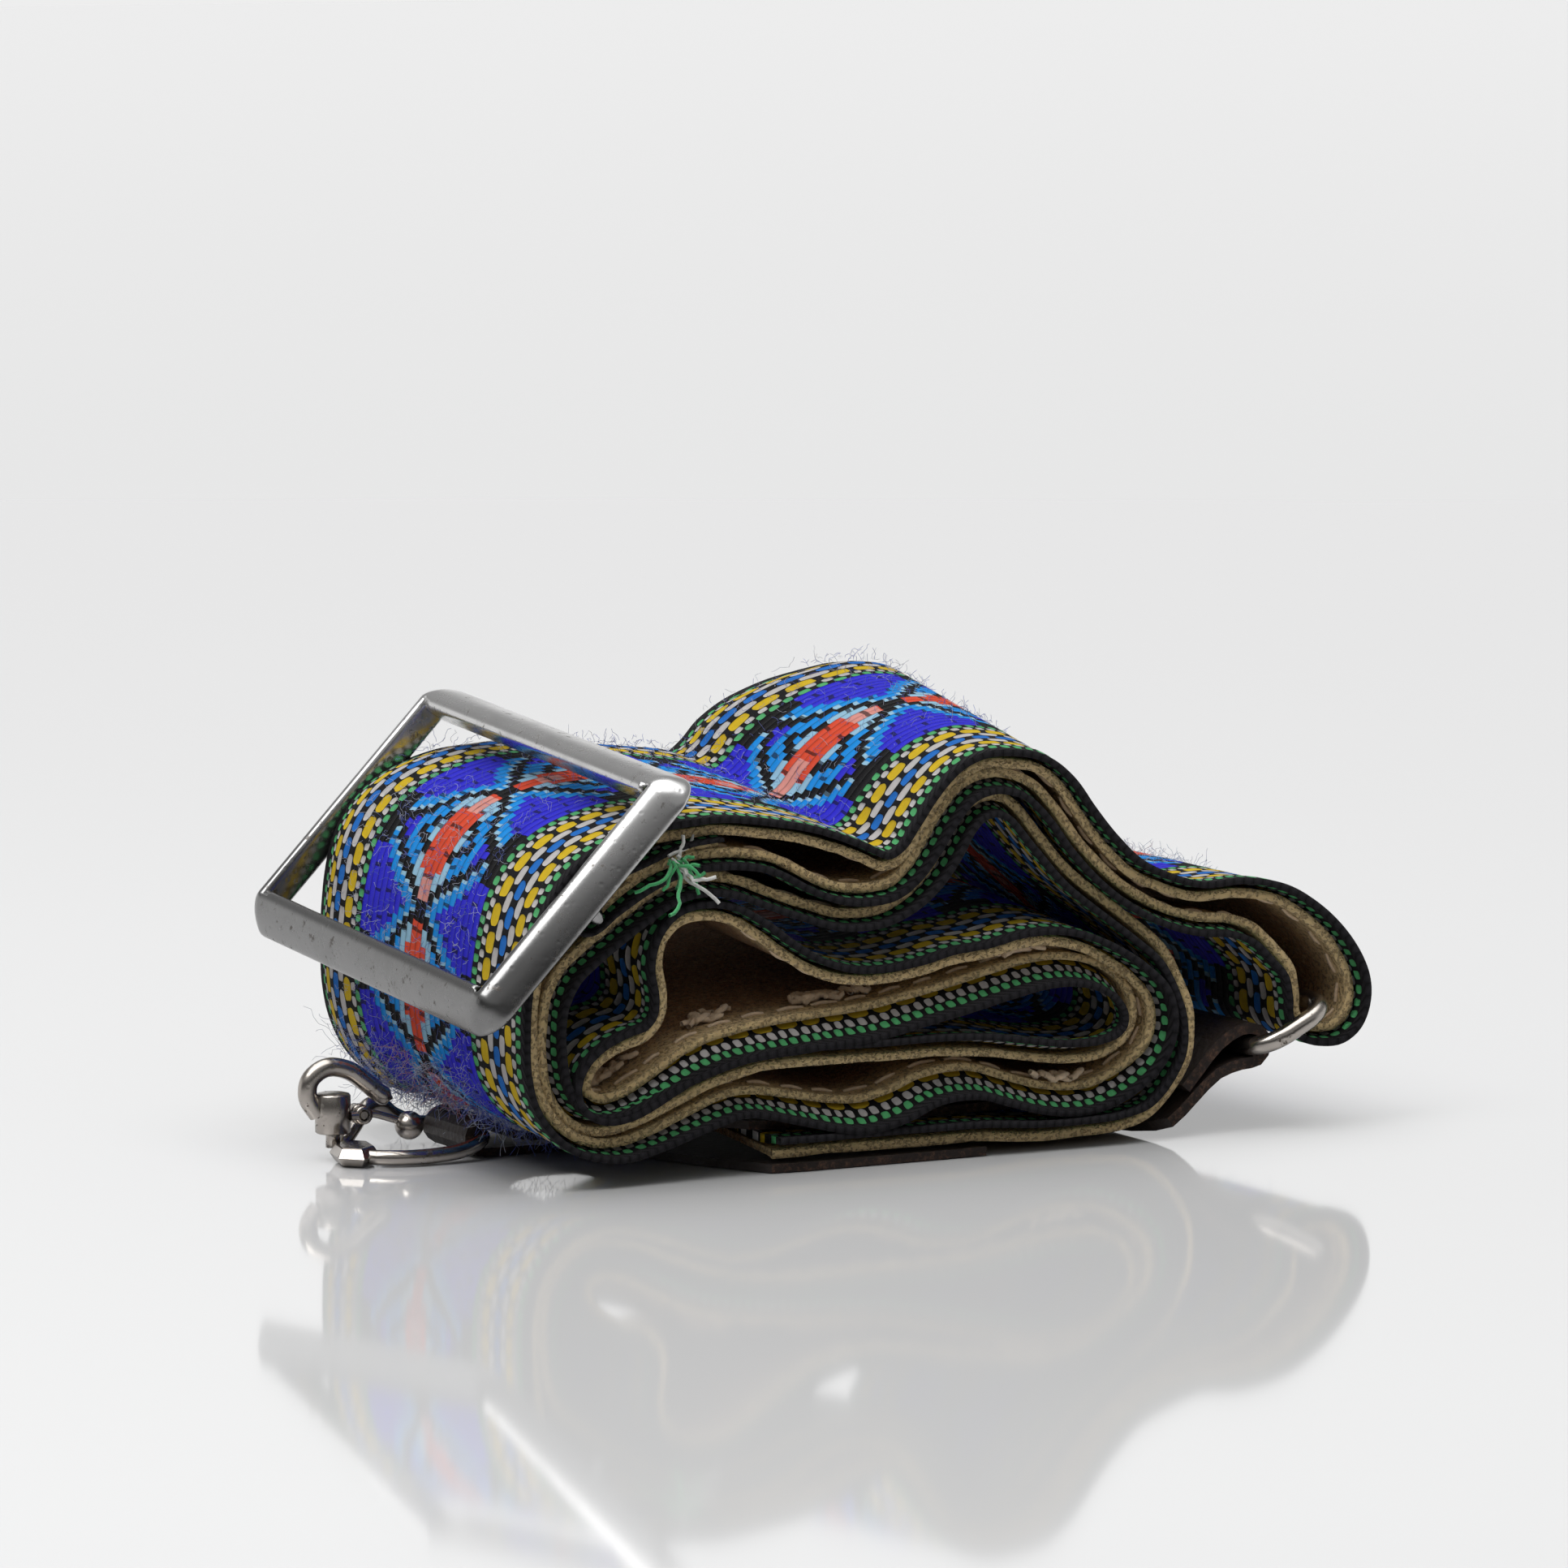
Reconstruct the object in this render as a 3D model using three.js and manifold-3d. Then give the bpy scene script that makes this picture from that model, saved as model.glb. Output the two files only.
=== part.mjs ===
// A folded 50 mm guitar strap: a jacquard band lined with suede, a metal slide, a wide ring with
// its leather tab, and a leather end tab that carries a swivel snap hook.
// Millimetres, +Z up, +X along the roll, -Y at the edge of the band that faces the front.
import * as THREE from "three";
import Module from "manifold-3d";
import { mergeVertices } from "three/addons/utils/BufferGeometryUtils.js";

const wasm = await Module();
wasm.setup();

// ---- driving dimensions -------------------------------------------------------------------
const BAND_WIDTH = 50.8; // a two-inch strap
const HALF = BAND_WIDTH / 2;
const WOVEN = 0.9; // thickness of the jacquard
const SUEDE = 0.8; // thickness of the lining
const PLY_GAP = 0.1; // each ply keeps this far from the seam line between the two
const LEATHER = 0.9; // thickness of the hook tab's leather
const TAB_LEATHER = 1.2; // thickness of the ring tab's leather
const SKIVED = 0.55; // how thin the folded-back end is, against the rest of the band
const SKIVED_LENGTH = 24; // from the cut end, round the slide's bar
const SKIVE_FADE = 6;

const SLIDE = {
  length: 33.7, width: 57.6, thick: 3.6, endLimb: 4.0, sideLimb: 2.4, bar: 1.8, bevel: 0.5, rise: 2.4,
};
const SLIDE_CENTRE = [-31.5, -0.1, 28.4];
const SLIDE_PITCH = 47.4; // degrees, how steeply the slide leans on the roll
const ROLL_TILT = 3.95; // how much higher the far edge of the upper layers lies than the near edge

const RING = { wire: 2.0, x0: 47.3, z0: 9.1, x1: 55.5, z1: 13.3, halfWidth: 27.2, corner: 3.4 };

const TONGUE_Y = 3.0; // middle of the hook tab's tongue
const EYE_BAR = { x: -31.6, z: 2.25, r: 0.8 };

// ---- the fold of the strap at its near edge -----------------------------------------------
// The line between the two plies, from the folded-back end to the end inside the hook tab.
// The pattern is always on the right-hand side of the direction of travel.
const FOLD = [
  // the end, back over the slide's bar and round it
  [-16.0, 34.5], [-20.5, 34.0], [-25.0, 32.4], [-29.4, 30.9], [-32.2, 29.9],
  [-33.3, 28.4], [-32.7, 27.0], [-31.4, 26.6], [-30.2, 27.1],
  // second layer, pattern down, over the hump and out to the ring
  [-28.4, 28.5], [-25.0, 30.8], [-21.0, 32.3], [-16.5, 32.8], [-12.0, 32.4], [-9.0, 31.5],
  [-6.0, 29.9], [-3.5, 28.8], [-1.0, 28.2], [1.5, 28.1], [4.0, 28.6], [6.2, 30.1], [8.2, 32.5],
  [10.2, 35.6], [12.6, 38.2], [15.4, 39.1], [18.2, 38.8], [20.4, 37.8], [22.9, 35.4],
  [25.6, 31.9], [29.0, 28.5], [32.7, 25.8], [36.7, 23.8], [40.6, 22.7], [44.4, 22.3],
  [47.4, 21.2], [49.8, 19.0], [51.7, 16.8], [52.3, 14.3],
  // round the ring
  [52.5, 12.1], [53.7, 10.5], [55.6, 10.0], [57.6, 10.1], [59.3, 11.2], [60.2, 13.2],
  // top layer, pattern up, back over the hump to the slide
  [60.1, 15.6], [58.2, 19.2], [54.8, 22.6], [50.6, 25.1], [45.6, 26.1], [40.6, 26.0],
  [36.7, 27.1], [32.7, 29.0], [29.6, 31.8], [26.6, 35.3], [24.3, 38.3], [21.5, 40.4],
  [18.1, 41.2], [14.6, 41.2], [11.6, 39.9], [9.1, 37.5], [7.0, 34.7], [5.3, 32.4], [3.2, 31.4],
  [0.0, 32.7], [-5.5, 34.6], [-11.3, 35.7], [-16.5, 36.3], [-20.0, 36.1],
  // the big loop on the left, pattern outside
  [-23.5, 35.8], [-27.2, 34.9], [-30.8, 33.4], [-33.7, 31.0], [-35.8, 27.6], [-36.9, 23.5],
  [-37.5, 19.0], [-37.6, 15.0], [-37.4, 11.8], [-36.6, 9.1], [-35.0, 6.7], [-32.6, 4.8],
  [-29.8, 3.9],
  // lowest full layer, pattern down
  [-27.0, 3.8], [-24.0, 4.5], [-20.0, 5.9], [-16.4, 7.2], [-13.5, 7.9], [-11.0, 7.8],
  [-6.8, 7.0], [-2.0, 6.1], [1.2, 5.9], [4.6, 6.6], [8.0, 7.9], [11.2, 8.4], [14.6, 8.2],
  [18.2, 7.1], [22.0, 6.0], [26.0, 5.5], [29.2, 5.9],
  // outer turn on the right
  [32.6, 7.4], [35.1, 9.6], [36.1, 12.6], [35.4, 15.4], [33.2, 17.7], [30.2, 19.8],
  // fourth layer, pattern up, over its own hump on the left
  [27.0, 21.4], [23.0, 22.4], [19.0, 22.3], [14.9, 21.5], [11.0, 21.1], [7.0, 20.2],
  [3.0, 19.7], [-1.0, 19.9], [-4.7, 21.0], [-8.0, 22.9], [-11.2, 25.2], [-14.5, 27.0],
  [-17.8, 27.6], [-20.6, 27.0], [-22.5, 25.2], [-23.3, 22.4], [-22.8, 19.4], [-23.0, 17.0],
  [-24.4, 15.4], [-26.6, 14.7], [-29.0, 13.6], [-30.8, 12.0], [-31.4, 10.2],
  // tight turn on the left, then fifth layer, pattern down
  [-30.7, 8.9], [-29.2, 8.3], [-27.2, 8.5], [-24.8, 9.5], [-22.2, 10.9], [-19.5, 12.3],
  [-16.5, 13.4], [-13.0, 14.1], [-8.0, 14.7], [-3.0, 15.1], [2.4, 15.5], [7.0, 16.4],
  [12.0, 17.4], [17.0, 18.5], [21.5, 19.3], [25.5, 19.3],
  // inner turn on the right, then sixth layer, pattern up
  [28.9, 18.4], [31.5, 16.7], [32.9, 14.3], [32.7, 12.0], [31.2, 10.4], [28.7, 9.6],
  [25.0, 9.5], [20.3, 10.1], [15.5, 10.9], [10.0, 11.3], [4.0, 11.3], [-2.0, 11.4],
  [-7.0, 11.5], [-12.0, 11.1], [-16.8, 10.0], [-21.2, 8.4], [-25.2, 6.8], [-28.2, 6.1],
  // up inside the big loop, suede outside
  [-31.0, 6.4], [-33.2, 7.9], [-34.6, 10.2], [-35.2, 13.0], [-35.3, 16.2], [-34.8, 19.6],
  [-33.4, 22.2], [-31.2, 24.0], [-28.2, 26.1],
  // third layer, pattern down, over the fourth one's hump
  [-24.9, 28.2], [-21.4, 29.9], [-17.6, 30.4], [-14.0, 29.8], [-10.4, 28.4], [-6.5, 27.0],
  [-3.0, 25.9], [0.0, 25.6], [3.0, 25.9], [6.0, 27.3], [8.7, 29.6], [10.7, 32.3],
  [12.1, 34.6], [13.8, 36.2], [15.8, 36.7], [17.9, 36.0], [21.0, 32.6], [24.7, 28.6],
  [29.6, 24.9], [33.0, 22.4], [36.2, 19.7],
  // outer turn on the right, down to the floor
  [38.2, 16.4], [39.4, 12.8], [39.3, 9.2], [37.6, 5.9], [34.8, 3.2],
  // lowest layer, suede down, to the end in the hook tab
  [31.4, 2.2], [27.0, 1.9], [21.0, 1.9], [15.0, 2.3], [8.0, 2.35], [0.0, 2.35], [-9.6, 2.35],
];

const smooth = (a, b, v) => THREE.MathUtils.smoothstep(v, a, b);

// Where a point of the near-edge fold lies further back across the band: the roll's far side is
// higher and its hump leans to the right, and the middle of the low layers arches over the tabs.
function across(x, z, y) {
  const t = (y + HALF) / BAND_WIDTH;
  const lean = 8 * (z / 41) ** 2 * smooth(5, 15, x) * (1 - smooth(40, 55, x));
  const lift = ROLL_TILT * smooth(0, 16, z) * (1 - smooth(20, 45, x));
  const hump = (2.8 * Math.exp(-(((x - 4) / 7) ** 2)) + 1.4 * Math.exp(-(((x - 20) / 10) ** 2))) *
    smooth(20, 36, z);
  const arch = 1.3 * Math.sin(Math.PI * t) * smooth(0.8, 1.8, z) *
    THREE.MathUtils.clamp(1 - (z - 4) / 22, 0, 1) * (1 - smooth(36, 48, x));
  return [x + lean * t, z + (lift + hump) * t + arch];
}

// ---- shared geometry helpers ----------------------------------------------------------------
function smoothLine(points, steps) {
  const through = points.map(([x, z]) => new THREE.Vector3(x, 0, z));
  const curve = new THREE.CatmullRomCurve3(through, false, "centripetal");
  return curve.getPoints((points.length - 1) * steps).map((p) => [p.x, p.z]);
}

// Unit vector to the left of the line's direction at each of its points.
function leftNormals(line) {
  return line.map((_, i) => {
    const [ax, az] = line[Math.max(i - 1, 0)];
    const [bx, bz] = line[Math.min(i + 1, line.length - 1)];
    const length = Math.hypot(bx - ax, bz - az);
    return [-(bz - az) / length, (bx - ax) / length];
  });
}

// Closed solid through rings of equal length, each an array of THREE.Vector3.
function loft(rings) {
  const n = rings[0].length;
  const vertices = rings.flat().flatMap((p) => [p.x, p.y, p.z]);
  const index = [];
  for (let i = 0; i < rings.length - 1; i++) {
    for (let j = 0; j < n; j++) {
      const a = i * n + j;
      const b = i * n + ((j + 1) % n);
      index.push(a, b, a + n, b, b + n, a + n);
    }
  }
  const last = (rings.length - 1) * n;
  for (let j = 0; j < n / 2 - 1; j++) {
    const [p, q, r, s] = [j, j + 1, n - 2 - j, n - 1 - j];
    index.push(p, s, q, q, s, r);
    index.push(last + p, last + q, last + s, last + q, last + r, last + s);
  }
  const geometry = new THREE.BufferGeometry();
  geometry.setAttribute("position", new THREE.Float32BufferAttribute(vertices, 3));
  geometry.setIndex(index);
  return geometry;
}

// A ply of sheet material: it follows the line, lies between two offsets to the line's left, and
// runs across between yNear(i) and yFar(i); place() puts a point of the line further back.
function ply(line, { from, to, yNear, yFar, columns, place }) {
  const lines = Array.from({ length: columns }, (_, c) => {
    const share = c / (columns - 1);
    const placed = line.map(([x, z], i) => place(x, z, THREE.MathUtils.lerp(yNear(i), yFar(i), share)));
    return { placed, normals: leftNormals(placed) };
  });
  const rings = line.map((_, i) => {
    const side = (offset, reverse) => {
      const points = lines.map(({ placed, normals }, c) => {
        const y = THREE.MathUtils.lerp(yNear(i), yFar(i), c / (columns - 1));
        const [x, z] = placed[i];
        const [nx, nz] = normals[i];
        return new THREE.Vector3(x + nx * offset, y, z + nz * offset);
      });
      return reverse ? points.reverse() : points;
    };
    return [...side(from(i), false), ...side(to(i), true)];
  });
  return loft(rings);
}

function solidOf(geometry) {
  const bare = geometry.clone();
  bare.deleteAttribute("normal");
  bare.deleteAttribute("uv");
  const merged = mergeVertices(bare, 1e-4);
  return new wasm.Manifold(new wasm.Mesh({
    numProp: 3,
    vertProperties: new Float32Array(merged.attributes.position.array),
    triVerts: new Uint32Array(merged.index.array),
  }));
}

function geometryOf(solid) {
  const mesh = solid.getMesh();
  const geometry = new THREE.BufferGeometry();
  geometry.setAttribute("position", new THREE.Float32BufferAttribute(mesh.vertProperties, 3));
  geometry.setIndex(new THREE.Uint32BufferAttribute(mesh.triVerts, 1));
  return geometry;
}

// Round bar along a curve.
function bar(curve, radius, steps, arcs = 5) {
  const section = new THREE.Shape();
  section.absarc(0, 0, radius, 0, 2 * Math.PI);
  const options = { extrudePath: curve, steps, curveSegments: arcs, bevelEnabled: false };
  return new THREE.ExtrudeGeometry(section, options);
}

const throughPoints = (points, closed = false) =>
  new THREE.CatmullRomCurve3(points.map((p) => new THREE.Vector3(...p)), closed, "centripetal");

const joined = (...geometries) =>
  geometryOf(geometries.map(solidOf).reduce((whole, piece) => whole.add(piece)));

// ---- materials --------------------------------------------------------------------------------
const finish = (color, roughness, metalness) =>
  new THREE.MeshStandardMaterial({ color, roughness, metalness });
const WOVEN_FINISH = () => finish(0x2d3fa8, 0.9, 0);
const SUEDE_FINISH = () => finish(0xaf915f, 0.95, 0);
const THREAD_FINISH = () => finish(0xc8aa8c, 0.9, 0);
const NICKEL_FINISH = () => finish(0xc9c9cc, 0.22, 1);
const LEATHER_FINISH = () => finish(0x191514, 0.45, 0);

const strap = new THREE.Group();

function add(name, geometry, material, parent = strap) {
  const mesh = new THREE.Mesh(geometry, material);
  mesh.name = name;
  parent.add(mesh);
  return mesh;
}

// ---- band and lining ----------------------------------------------------------------------------
const FOLD_STEPS = 2;
const foldLine = smoothLine(FOLD, FOLD_STEPS);
const foldLengths = foldLine.map(() => 0);
foldLine.forEach(([x, z], i) => {
  if (i) foldLengths[i] = foldLengths[i - 1] + Math.hypot(x - foldLine[i - 1][0], z - foldLine[i - 1][1]);
});

const bandPly = (from, to) => {
  const full = (i) => smooth(SKIVED_LENGTH, SKIVED_LENGTH + SKIVE_FADE, foldLengths[i]);
  const thin = (i) => THREE.MathUtils.lerp(SKIVED, 1, full(i));
  return ply(foldLine, {
    from: (i) => from * thin(i),
    to: (i) => to * thin(i),
    yNear: () => -HALF,
    yFar: () => HALF,
    columns: 3,
    place: across,
  });
};

add("woven_band", bandPly(-WOVEN - PLY_GAP, -PLY_GAP), WOVEN_FINISH());
add("suede_lining", bandPly(PLY_GAP, SUEDE + PLY_GAP), SUEDE_FINISH());

// ---- slide --------------------------------------------------------------------------------------
// A cast frame with a bar across its middle, leaning on the outside of the big loop. Its own axes
// are x along its length, y across the strap and z out of the roll.
const CORNER_STEPS = 4;

function roundedRectangle(path, length, width, radius) {
  const [a, b] = [length / 2 - radius, width / 2 - radius];
  path.absarc(a, b, radius, 0, Math.PI / 2);
  path.absarc(-a, b, radius, Math.PI / 2, Math.PI);
  path.absarc(-a, -b, radius, Math.PI, 1.5 * Math.PI);
  path.absarc(a, -b, radius, 1.5 * Math.PI, 2 * Math.PI);
  path.closePath();
  return path;
}

function slideFrame() {
  const { length, width, thick, endLimb, sideLimb, bevel } = SLIDE;
  const outline = roundedRectangle(new THREE.Shape(), length - 2 * bevel, width - 2 * bevel, 2.6);
  const window = new THREE.Path();
  roundedRectangle(window, length - 2 * endLimb + 2 * bevel, width - 2 * sideLimb + 2 * bevel, 1.6);
  outline.holes.push(window);
  const plate = new THREE.ExtrudeGeometry(outline, {
    depth: thick - 2 * bevel,
    bevelSize: bevel,
    bevelThickness: bevel,
    bevelSegments: 2,
    curveSegments: CORNER_STEPS,
  });
  return plate.translate(0, 0, -thick / 2 + bevel + SLIDE.rise);
}

function slideBar() {
  const reach = SLIDE.width / 2 - SLIDE.sideLimb / 2;
  const axis = new THREE.LineCurve3(new THREE.Vector3(0, -reach, 0), new THREE.Vector3(0, reach, 0));
  return bar(axis, SLIDE.bar / 2, 1);
}

const slide = new THREE.Group();
slide.position.set(...SLIDE_CENTRE);
slide.position.z += (ROLL_TILT * (SLIDE_CENTRE[1] + HALF)) / BAND_WIDTH;
slide.rotation.order = "XYZ";
slide.rotation.set(Math.atan2(ROLL_TILT, BAND_WIDTH), -THREE.MathUtils.degToRad(SLIDE_PITCH), 0);
strap.add(slide);

// The bar hangs behind the frame on a lug at each end.
const LUG = [2.4, 2.0, 2.4];
const slideLug = (side) =>
  new THREE.BoxGeometry(...LUG).translate(
    0, (side * (SLIDE.width - SLIDE.sideLimb)) / 2, LUG[2] / 2 - SLIDE.bar / 2,
  );
add("slide_buckle", joined(slideFrame(), slideBar(), slideLug(-1), slideLug(1)), NICKEL_FINISH(), slide);

// ---- ring ---------------------------------------------------------------------------------------
// A wide wire loop. One long side lies in the strap's fold and the other in the leather tab.
const ringSpan = Math.hypot(RING.x1 - RING.x0, RING.z1 - RING.z0);
const RING_CORNER_STEPS = 4;

function ringCurve() {
  const [a, b, r] = [ringSpan / 2, RING.halfWidth, RING.corner];
  const points = [];
  const corners = [[a - r, b - r, 0], [r - a, b - r, 1], [r - a, r - b, 2], [a - r, r - b, 3]];
  for (const [cx, cy, quarter] of corners) {
    for (let i = 0; i <= RING_CORNER_STEPS; i++) {
      const angle = ((quarter + i / RING_CORNER_STEPS) * Math.PI) / 2;
      points.push([cx + r * Math.cos(angle), cy + r * Math.sin(angle), 0]);
    }
  }
  return points;
}

function ringLoop() {
  const points = ringCurve();
  const sides = 10;
  const rings = points.map(([x, y], i) => {
    const [px, py] = points[(i + points.length - 1) % points.length];
    const [qx, qy] = points[(i + 1) % points.length];
    const length = Math.hypot(qx - px, qy - py);
    const [nx, ny] = [(qy - py) / length, -(qx - px) / length];
    return Array.from({ length: sides }, (_, k) => {
      const angle = (2 * Math.PI * k) / sides;
      const out = (RING.wire / 2) * Math.cos(angle);
      return [x + nx * out, y + ny * out, (RING.wire / 2) * Math.sin(angle)];
    });
  });
  const index = [];
  rings.forEach((_, i) => {
    const next = (i + 1) % rings.length;
    for (let k = 0; k < sides; k++) {
      const l = (k + 1) % sides;
      const [a, b, c, d] = [i * sides + k, next * sides + k, i * sides + l, next * sides + l];
      index.push(a, b, c, c, b, d);
    }
  });
  const geometry = new THREE.BufferGeometry();
  geometry.setAttribute("position", new THREE.Float32BufferAttribute(rings.flat(2), 3));
  geometry.setIndex(index);
  return geometry;
}

const ring = add("wide_ring", ringLoop(), NICKEL_FINISH());
ring.position.set((RING.x0 + RING.x1) / 2, 0, (RING.z0 + RING.z1) / 2);
ring.rotation.y = -Math.atan2(RING.z1 - RING.z0, RING.x1 - RING.x0);

// ---- ring tab -----------------------------------------------------------------------------------
// Leather folded round the ring's lower side; its long leg narrows and goes under the roll.
const RING_TAB = [
  [22.0, 0.75], [27.0, 0.75], [32.0, 0.75], [35.6, 0.85], [37.6, 1.7], [40.4, 4.1], [43.4, 6.5],
  [46.2, 7.3], [48.3, 7.6], [49.3, 9.2], [48.3, 10.8], [46.2, 11.0], [43.4, 9.5], [41.2, 7.2], [39.4, 5.2],
];
const RING_TAB_STEPS = 2;
const RING_TAB_HALF = { wide: 24.6, narrow: 14.0 };

function ringTab() {
  const line = smoothLine(RING_TAB, RING_TAB_STEPS);
  const half = (i) => {
    const [x] = line[i];
    const shoulder = smooth(33, 38, x);
    const round = Math.sqrt(Math.max(1 - ((24 - Math.min(x, 24)) / 3.2) ** 2, 0.2));
    return THREE.MathUtils.lerp(RING_TAB_HALF.narrow * round, RING_TAB_HALF.wide, shoulder);
  };
  return ply(line, {
    from: () => -TAB_LEATHER / 2,
    to: () => TAB_LEATHER / 2,
    yNear: (i) => -half(i),
    yFar: half,
    columns: 2,
    place: (x, z) => [x, z],
  });
}
add("leather_ring_tab", ringTab(), LEATHER_FINISH());

// ---- hook tab -----------------------------------------------------------------------------------
// Leather as wide as the strap holds the strap's end between two layers, narrows to a tongue and
// is folded round the bar of the snap hook's eye.
const HOOK_TAB = [
  [19.5, 4.25], [12.0, 4.15], [4.0, 4.15], [-4.0, 4.15], [-9.0, 4.15], [-12.0, 4.0],
  [-15.5, 3.0], [-19.0, 2.1],
  [-23.5, 1.85], [-28.0, 2.2], [-30.2, 3.5], [-31.8, 3.85], [-33.1, 3.0], [-33.3, 1.7], [-32.3, 0.75],
  [-30.4, 0.55], [-26.0, 0.5], [-18.0, 0.5], [-10.0, 0.5], [-2.0, 0.5], [7.0, 0.5], [15.0, 0.5],
];
const HOOK_TAB_STEPS = 2;
const HOOK_TAB_HALF = { upper: 21.5, lower: 25.2, tongue: 5.0 };
const TONGUE_START = -22;
const TONGUE_SHOULDER = -9;

function hookTab() {
  const line = smoothLine(HOOK_TAB, HOOK_TAB_STEPS);
  const middle = Math.floor(line.length * 0.6);
  const width = (i) => {
    const wide = i < middle ? HOOK_TAB_HALF.upper : HOOK_TAB_HALF.lower;
    const shoulder = smooth(TONGUE_START, TONGUE_SHOULDER, line[i][0]);
    return THREE.MathUtils.lerp(HOOK_TAB_HALF.tongue, wide, shoulder);
  };
  const centre = (i) => TONGUE_Y * (1 - smooth(TONGUE_START, TONGUE_SHOULDER, line[i][0]));
  return ply(line, {
    from: () => -LEATHER / 2,
    to: () => LEATHER / 2,
    yNear: (i) => centre(i) - width(i),
    yFar: (i) => centre(i) + width(i),
    columns: 3,
    place: (x, z, y) => {
      const arch = smooth(-17, -11.5, x) * smooth(1, 3, z);
      const tilt = ROLL_TILT * smooth(0, 16, z) * (y + HALF) / BAND_WIDTH;
      return [x, THREE.MathUtils.lerp(z, across(x, z, y)[1] - tilt, arch)];
    },
  });
}
add("leather_hook_tab", hookTab(), LEATHER_FINISH());

// One row of thread dashes across the tab, where it holds the strap's end.
const STITCH = { count: 10, x: 10.0, spacing: 4.2, length: 2.6, width: 0.5, z: 4.95 };
for (let i = 0; i < STITCH.count; i++) {
  const y = (i - (STITCH.count - 1) / 2) * STITCH.spacing;
  const z = STITCH.z + across(STITCH.x, HOOK_TAB[1][1], y)[1] - HOOK_TAB[1][1] -
    (ROLL_TILT * smooth(0, 16, HOOK_TAB[1][1]) * (y + HALF)) / BAND_WIDTH;
  const dash = new THREE.SphereGeometry(0.5, 10, 6).scale(STITCH.width, STITCH.length, STITCH.width);
  add(`tab_stitch_${i + 1}`, dash.translate(STITCH.x, y, z), THREAD_FINISH());
}

// ---- snap hook ----------------------------------------------------------------------------------
// The eye lies on the floor with its right-hand side in the tongue and its far arm raised. A post
// stands on its left-hand end, the hook turns on the post, and a sprung gate with a ball to push
// closes the hook.
const POST = { x: -45.8, y: 4.5, foot: 1.3, collar: 2.8, top: 7.0, r: 0.75, barrel: 1.8, gap: 0.3 };
const EYE_WIRE_PATH = [
  [EYE_BAR.x, -1.6, EYE_BAR.z], [-32.4, -2.6, 1.9], [-34.6, -3.1, 1.2], [-38.2, -3.2, 0.9],
  [-42.0, -2.6, 0.9], [-44.6, -0.4, 0.9], [-45.6, 2.6, 0.9], [-44.4, 5.0, 1.4], [-42.2, 6.8, 3.0],
  [-40.2, 8.0, 4.7], [-38.4, 8.8, 4.7], [-36.6, 9.2, 3.4], [-34.2, 9.2, 2.4], [-32.3, 8.7, EYE_BAR.z],
  [EYE_BAR.x, 7.7, EYE_BAR.z], [EYE_BAR.x, 5.5, EYE_BAR.z],
  [EYE_BAR.x, 3.0, EYE_BAR.z], [EYE_BAR.x, 0.6, EYE_BAR.z],
];

// Solid of revolution about +Z from [radius, z] pairs that start and end on the axis.
const turned = (profile, sides = 18) =>
  new THREE.LatheGeometry(profile.map(([r, z]) => new THREE.Vector2(r, z)), sides).rotateX(Math.PI / 2);

function postPin() {
  const height = POST.top - POST.foot;
  const head = [[0, 0], [POST.r, 0], [POST.r, height], [1.3, height], [1.3, height + 0.6], [0, height + 0.8]];
  return turned(head).translate(POST.x, POST.y, POST.foot);
}

function eyeBoss() {
  const facets = turned([[0, -1.0], [2.1, -1.0], [2.8, 0], [2.1, 1.0], [0, 1.0]], 6);
  return facets.scale(0.75, 1.35, 0.85).rotateZ(-0.35).translate(-45.2, 2.2, 0.95);
}

const eyeWire = bar(throughPoints(EYE_WIRE_PATH, true), EYE_BAR.r, 54);
add("hook_eye", joined(eyeWire, eyeBoss(), postPin()), NICKEL_FINISH());

// The barrel turns on the post, and the hook is one casting with it.
const BARREL_TOP = POST.top - 0.3;
const GATE = {
  x: -42.9, y: 4.3, z: 4.6, pin: 0.4, slack: 0.2, boss: 1.05, thick: 0.8, cheek: 0.6, side: 0.3,
};
const HOOK_WIRE = 1.0;
const HOOK_PATH = [
  [-47.3, 4.9, 4.8], [-48.4, 5.0, 6.6], [-48.2, 4.9, 8.4], [-46.4, 4.8, 9.6], [-44.0, 4.6, 9.2],
  [-41.9, 4.4, 7.7], [-40.3, 4.2, 6.4], [-39.2, 4.0, 6.0],
];

function hookBarrel() {
  const bore = POST.r + POST.gap;
  const height = BARREL_TOP - POST.collar;
  const wall = [[bore, 0], [POST.barrel, 0], [POST.barrel, height], [bore, height], [bore, 0]];
  return turned(wall).translate(POST.x, POST.y, POST.collar);
}

// A disc or a hole across the gate's pivot, from one y to another.
const pivotDisc = (radius, y0, y1) =>
  new THREE.CylinderGeometry(radius, radius, y1 - y0, 16).translate(GATE.x, (y0 + y1) / 2, GATE.z);

function gateCheek(side) {
  const y0 = GATE.y + side * (GATE.thick / 2 + GATE.side);
  const y1 = y0 + side * GATE.cheek;
  const [a, b] = [Math.min(y0, y1), Math.max(y0, y1)];
  const web = new THREE.BoxGeometry(1.9, b - a, 1.7).translate(GATE.x - 1.0, (a + b) / 2, GATE.z);
  return joined(pivotDisc(0.95, a, b), web);
}

function hookBody() {
  const wire = bar(throughPoints(HOOK_PATH), HOOK_WIRE, 22);
  const whole = solidOf(joined(hookBarrel(), wire, gateCheek(-1), gateCheek(1)));
  const bore = turned([[0, 0], [POST.r + POST.gap, 0], [POST.r + POST.gap, 3.5], [0, 3.5]])
    .translate(POST.x, POST.y, POST.collar + 0.1);
  const hole = pivotDisc(GATE.pin + GATE.slack, GATE.y - 3, GATE.y + 3);
  return geometryOf(whole.subtract(solidOf(bore)).subtract(solidOf(hole)));
}
add("hook_body", hookBody(), NICKEL_FINISH());

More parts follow.
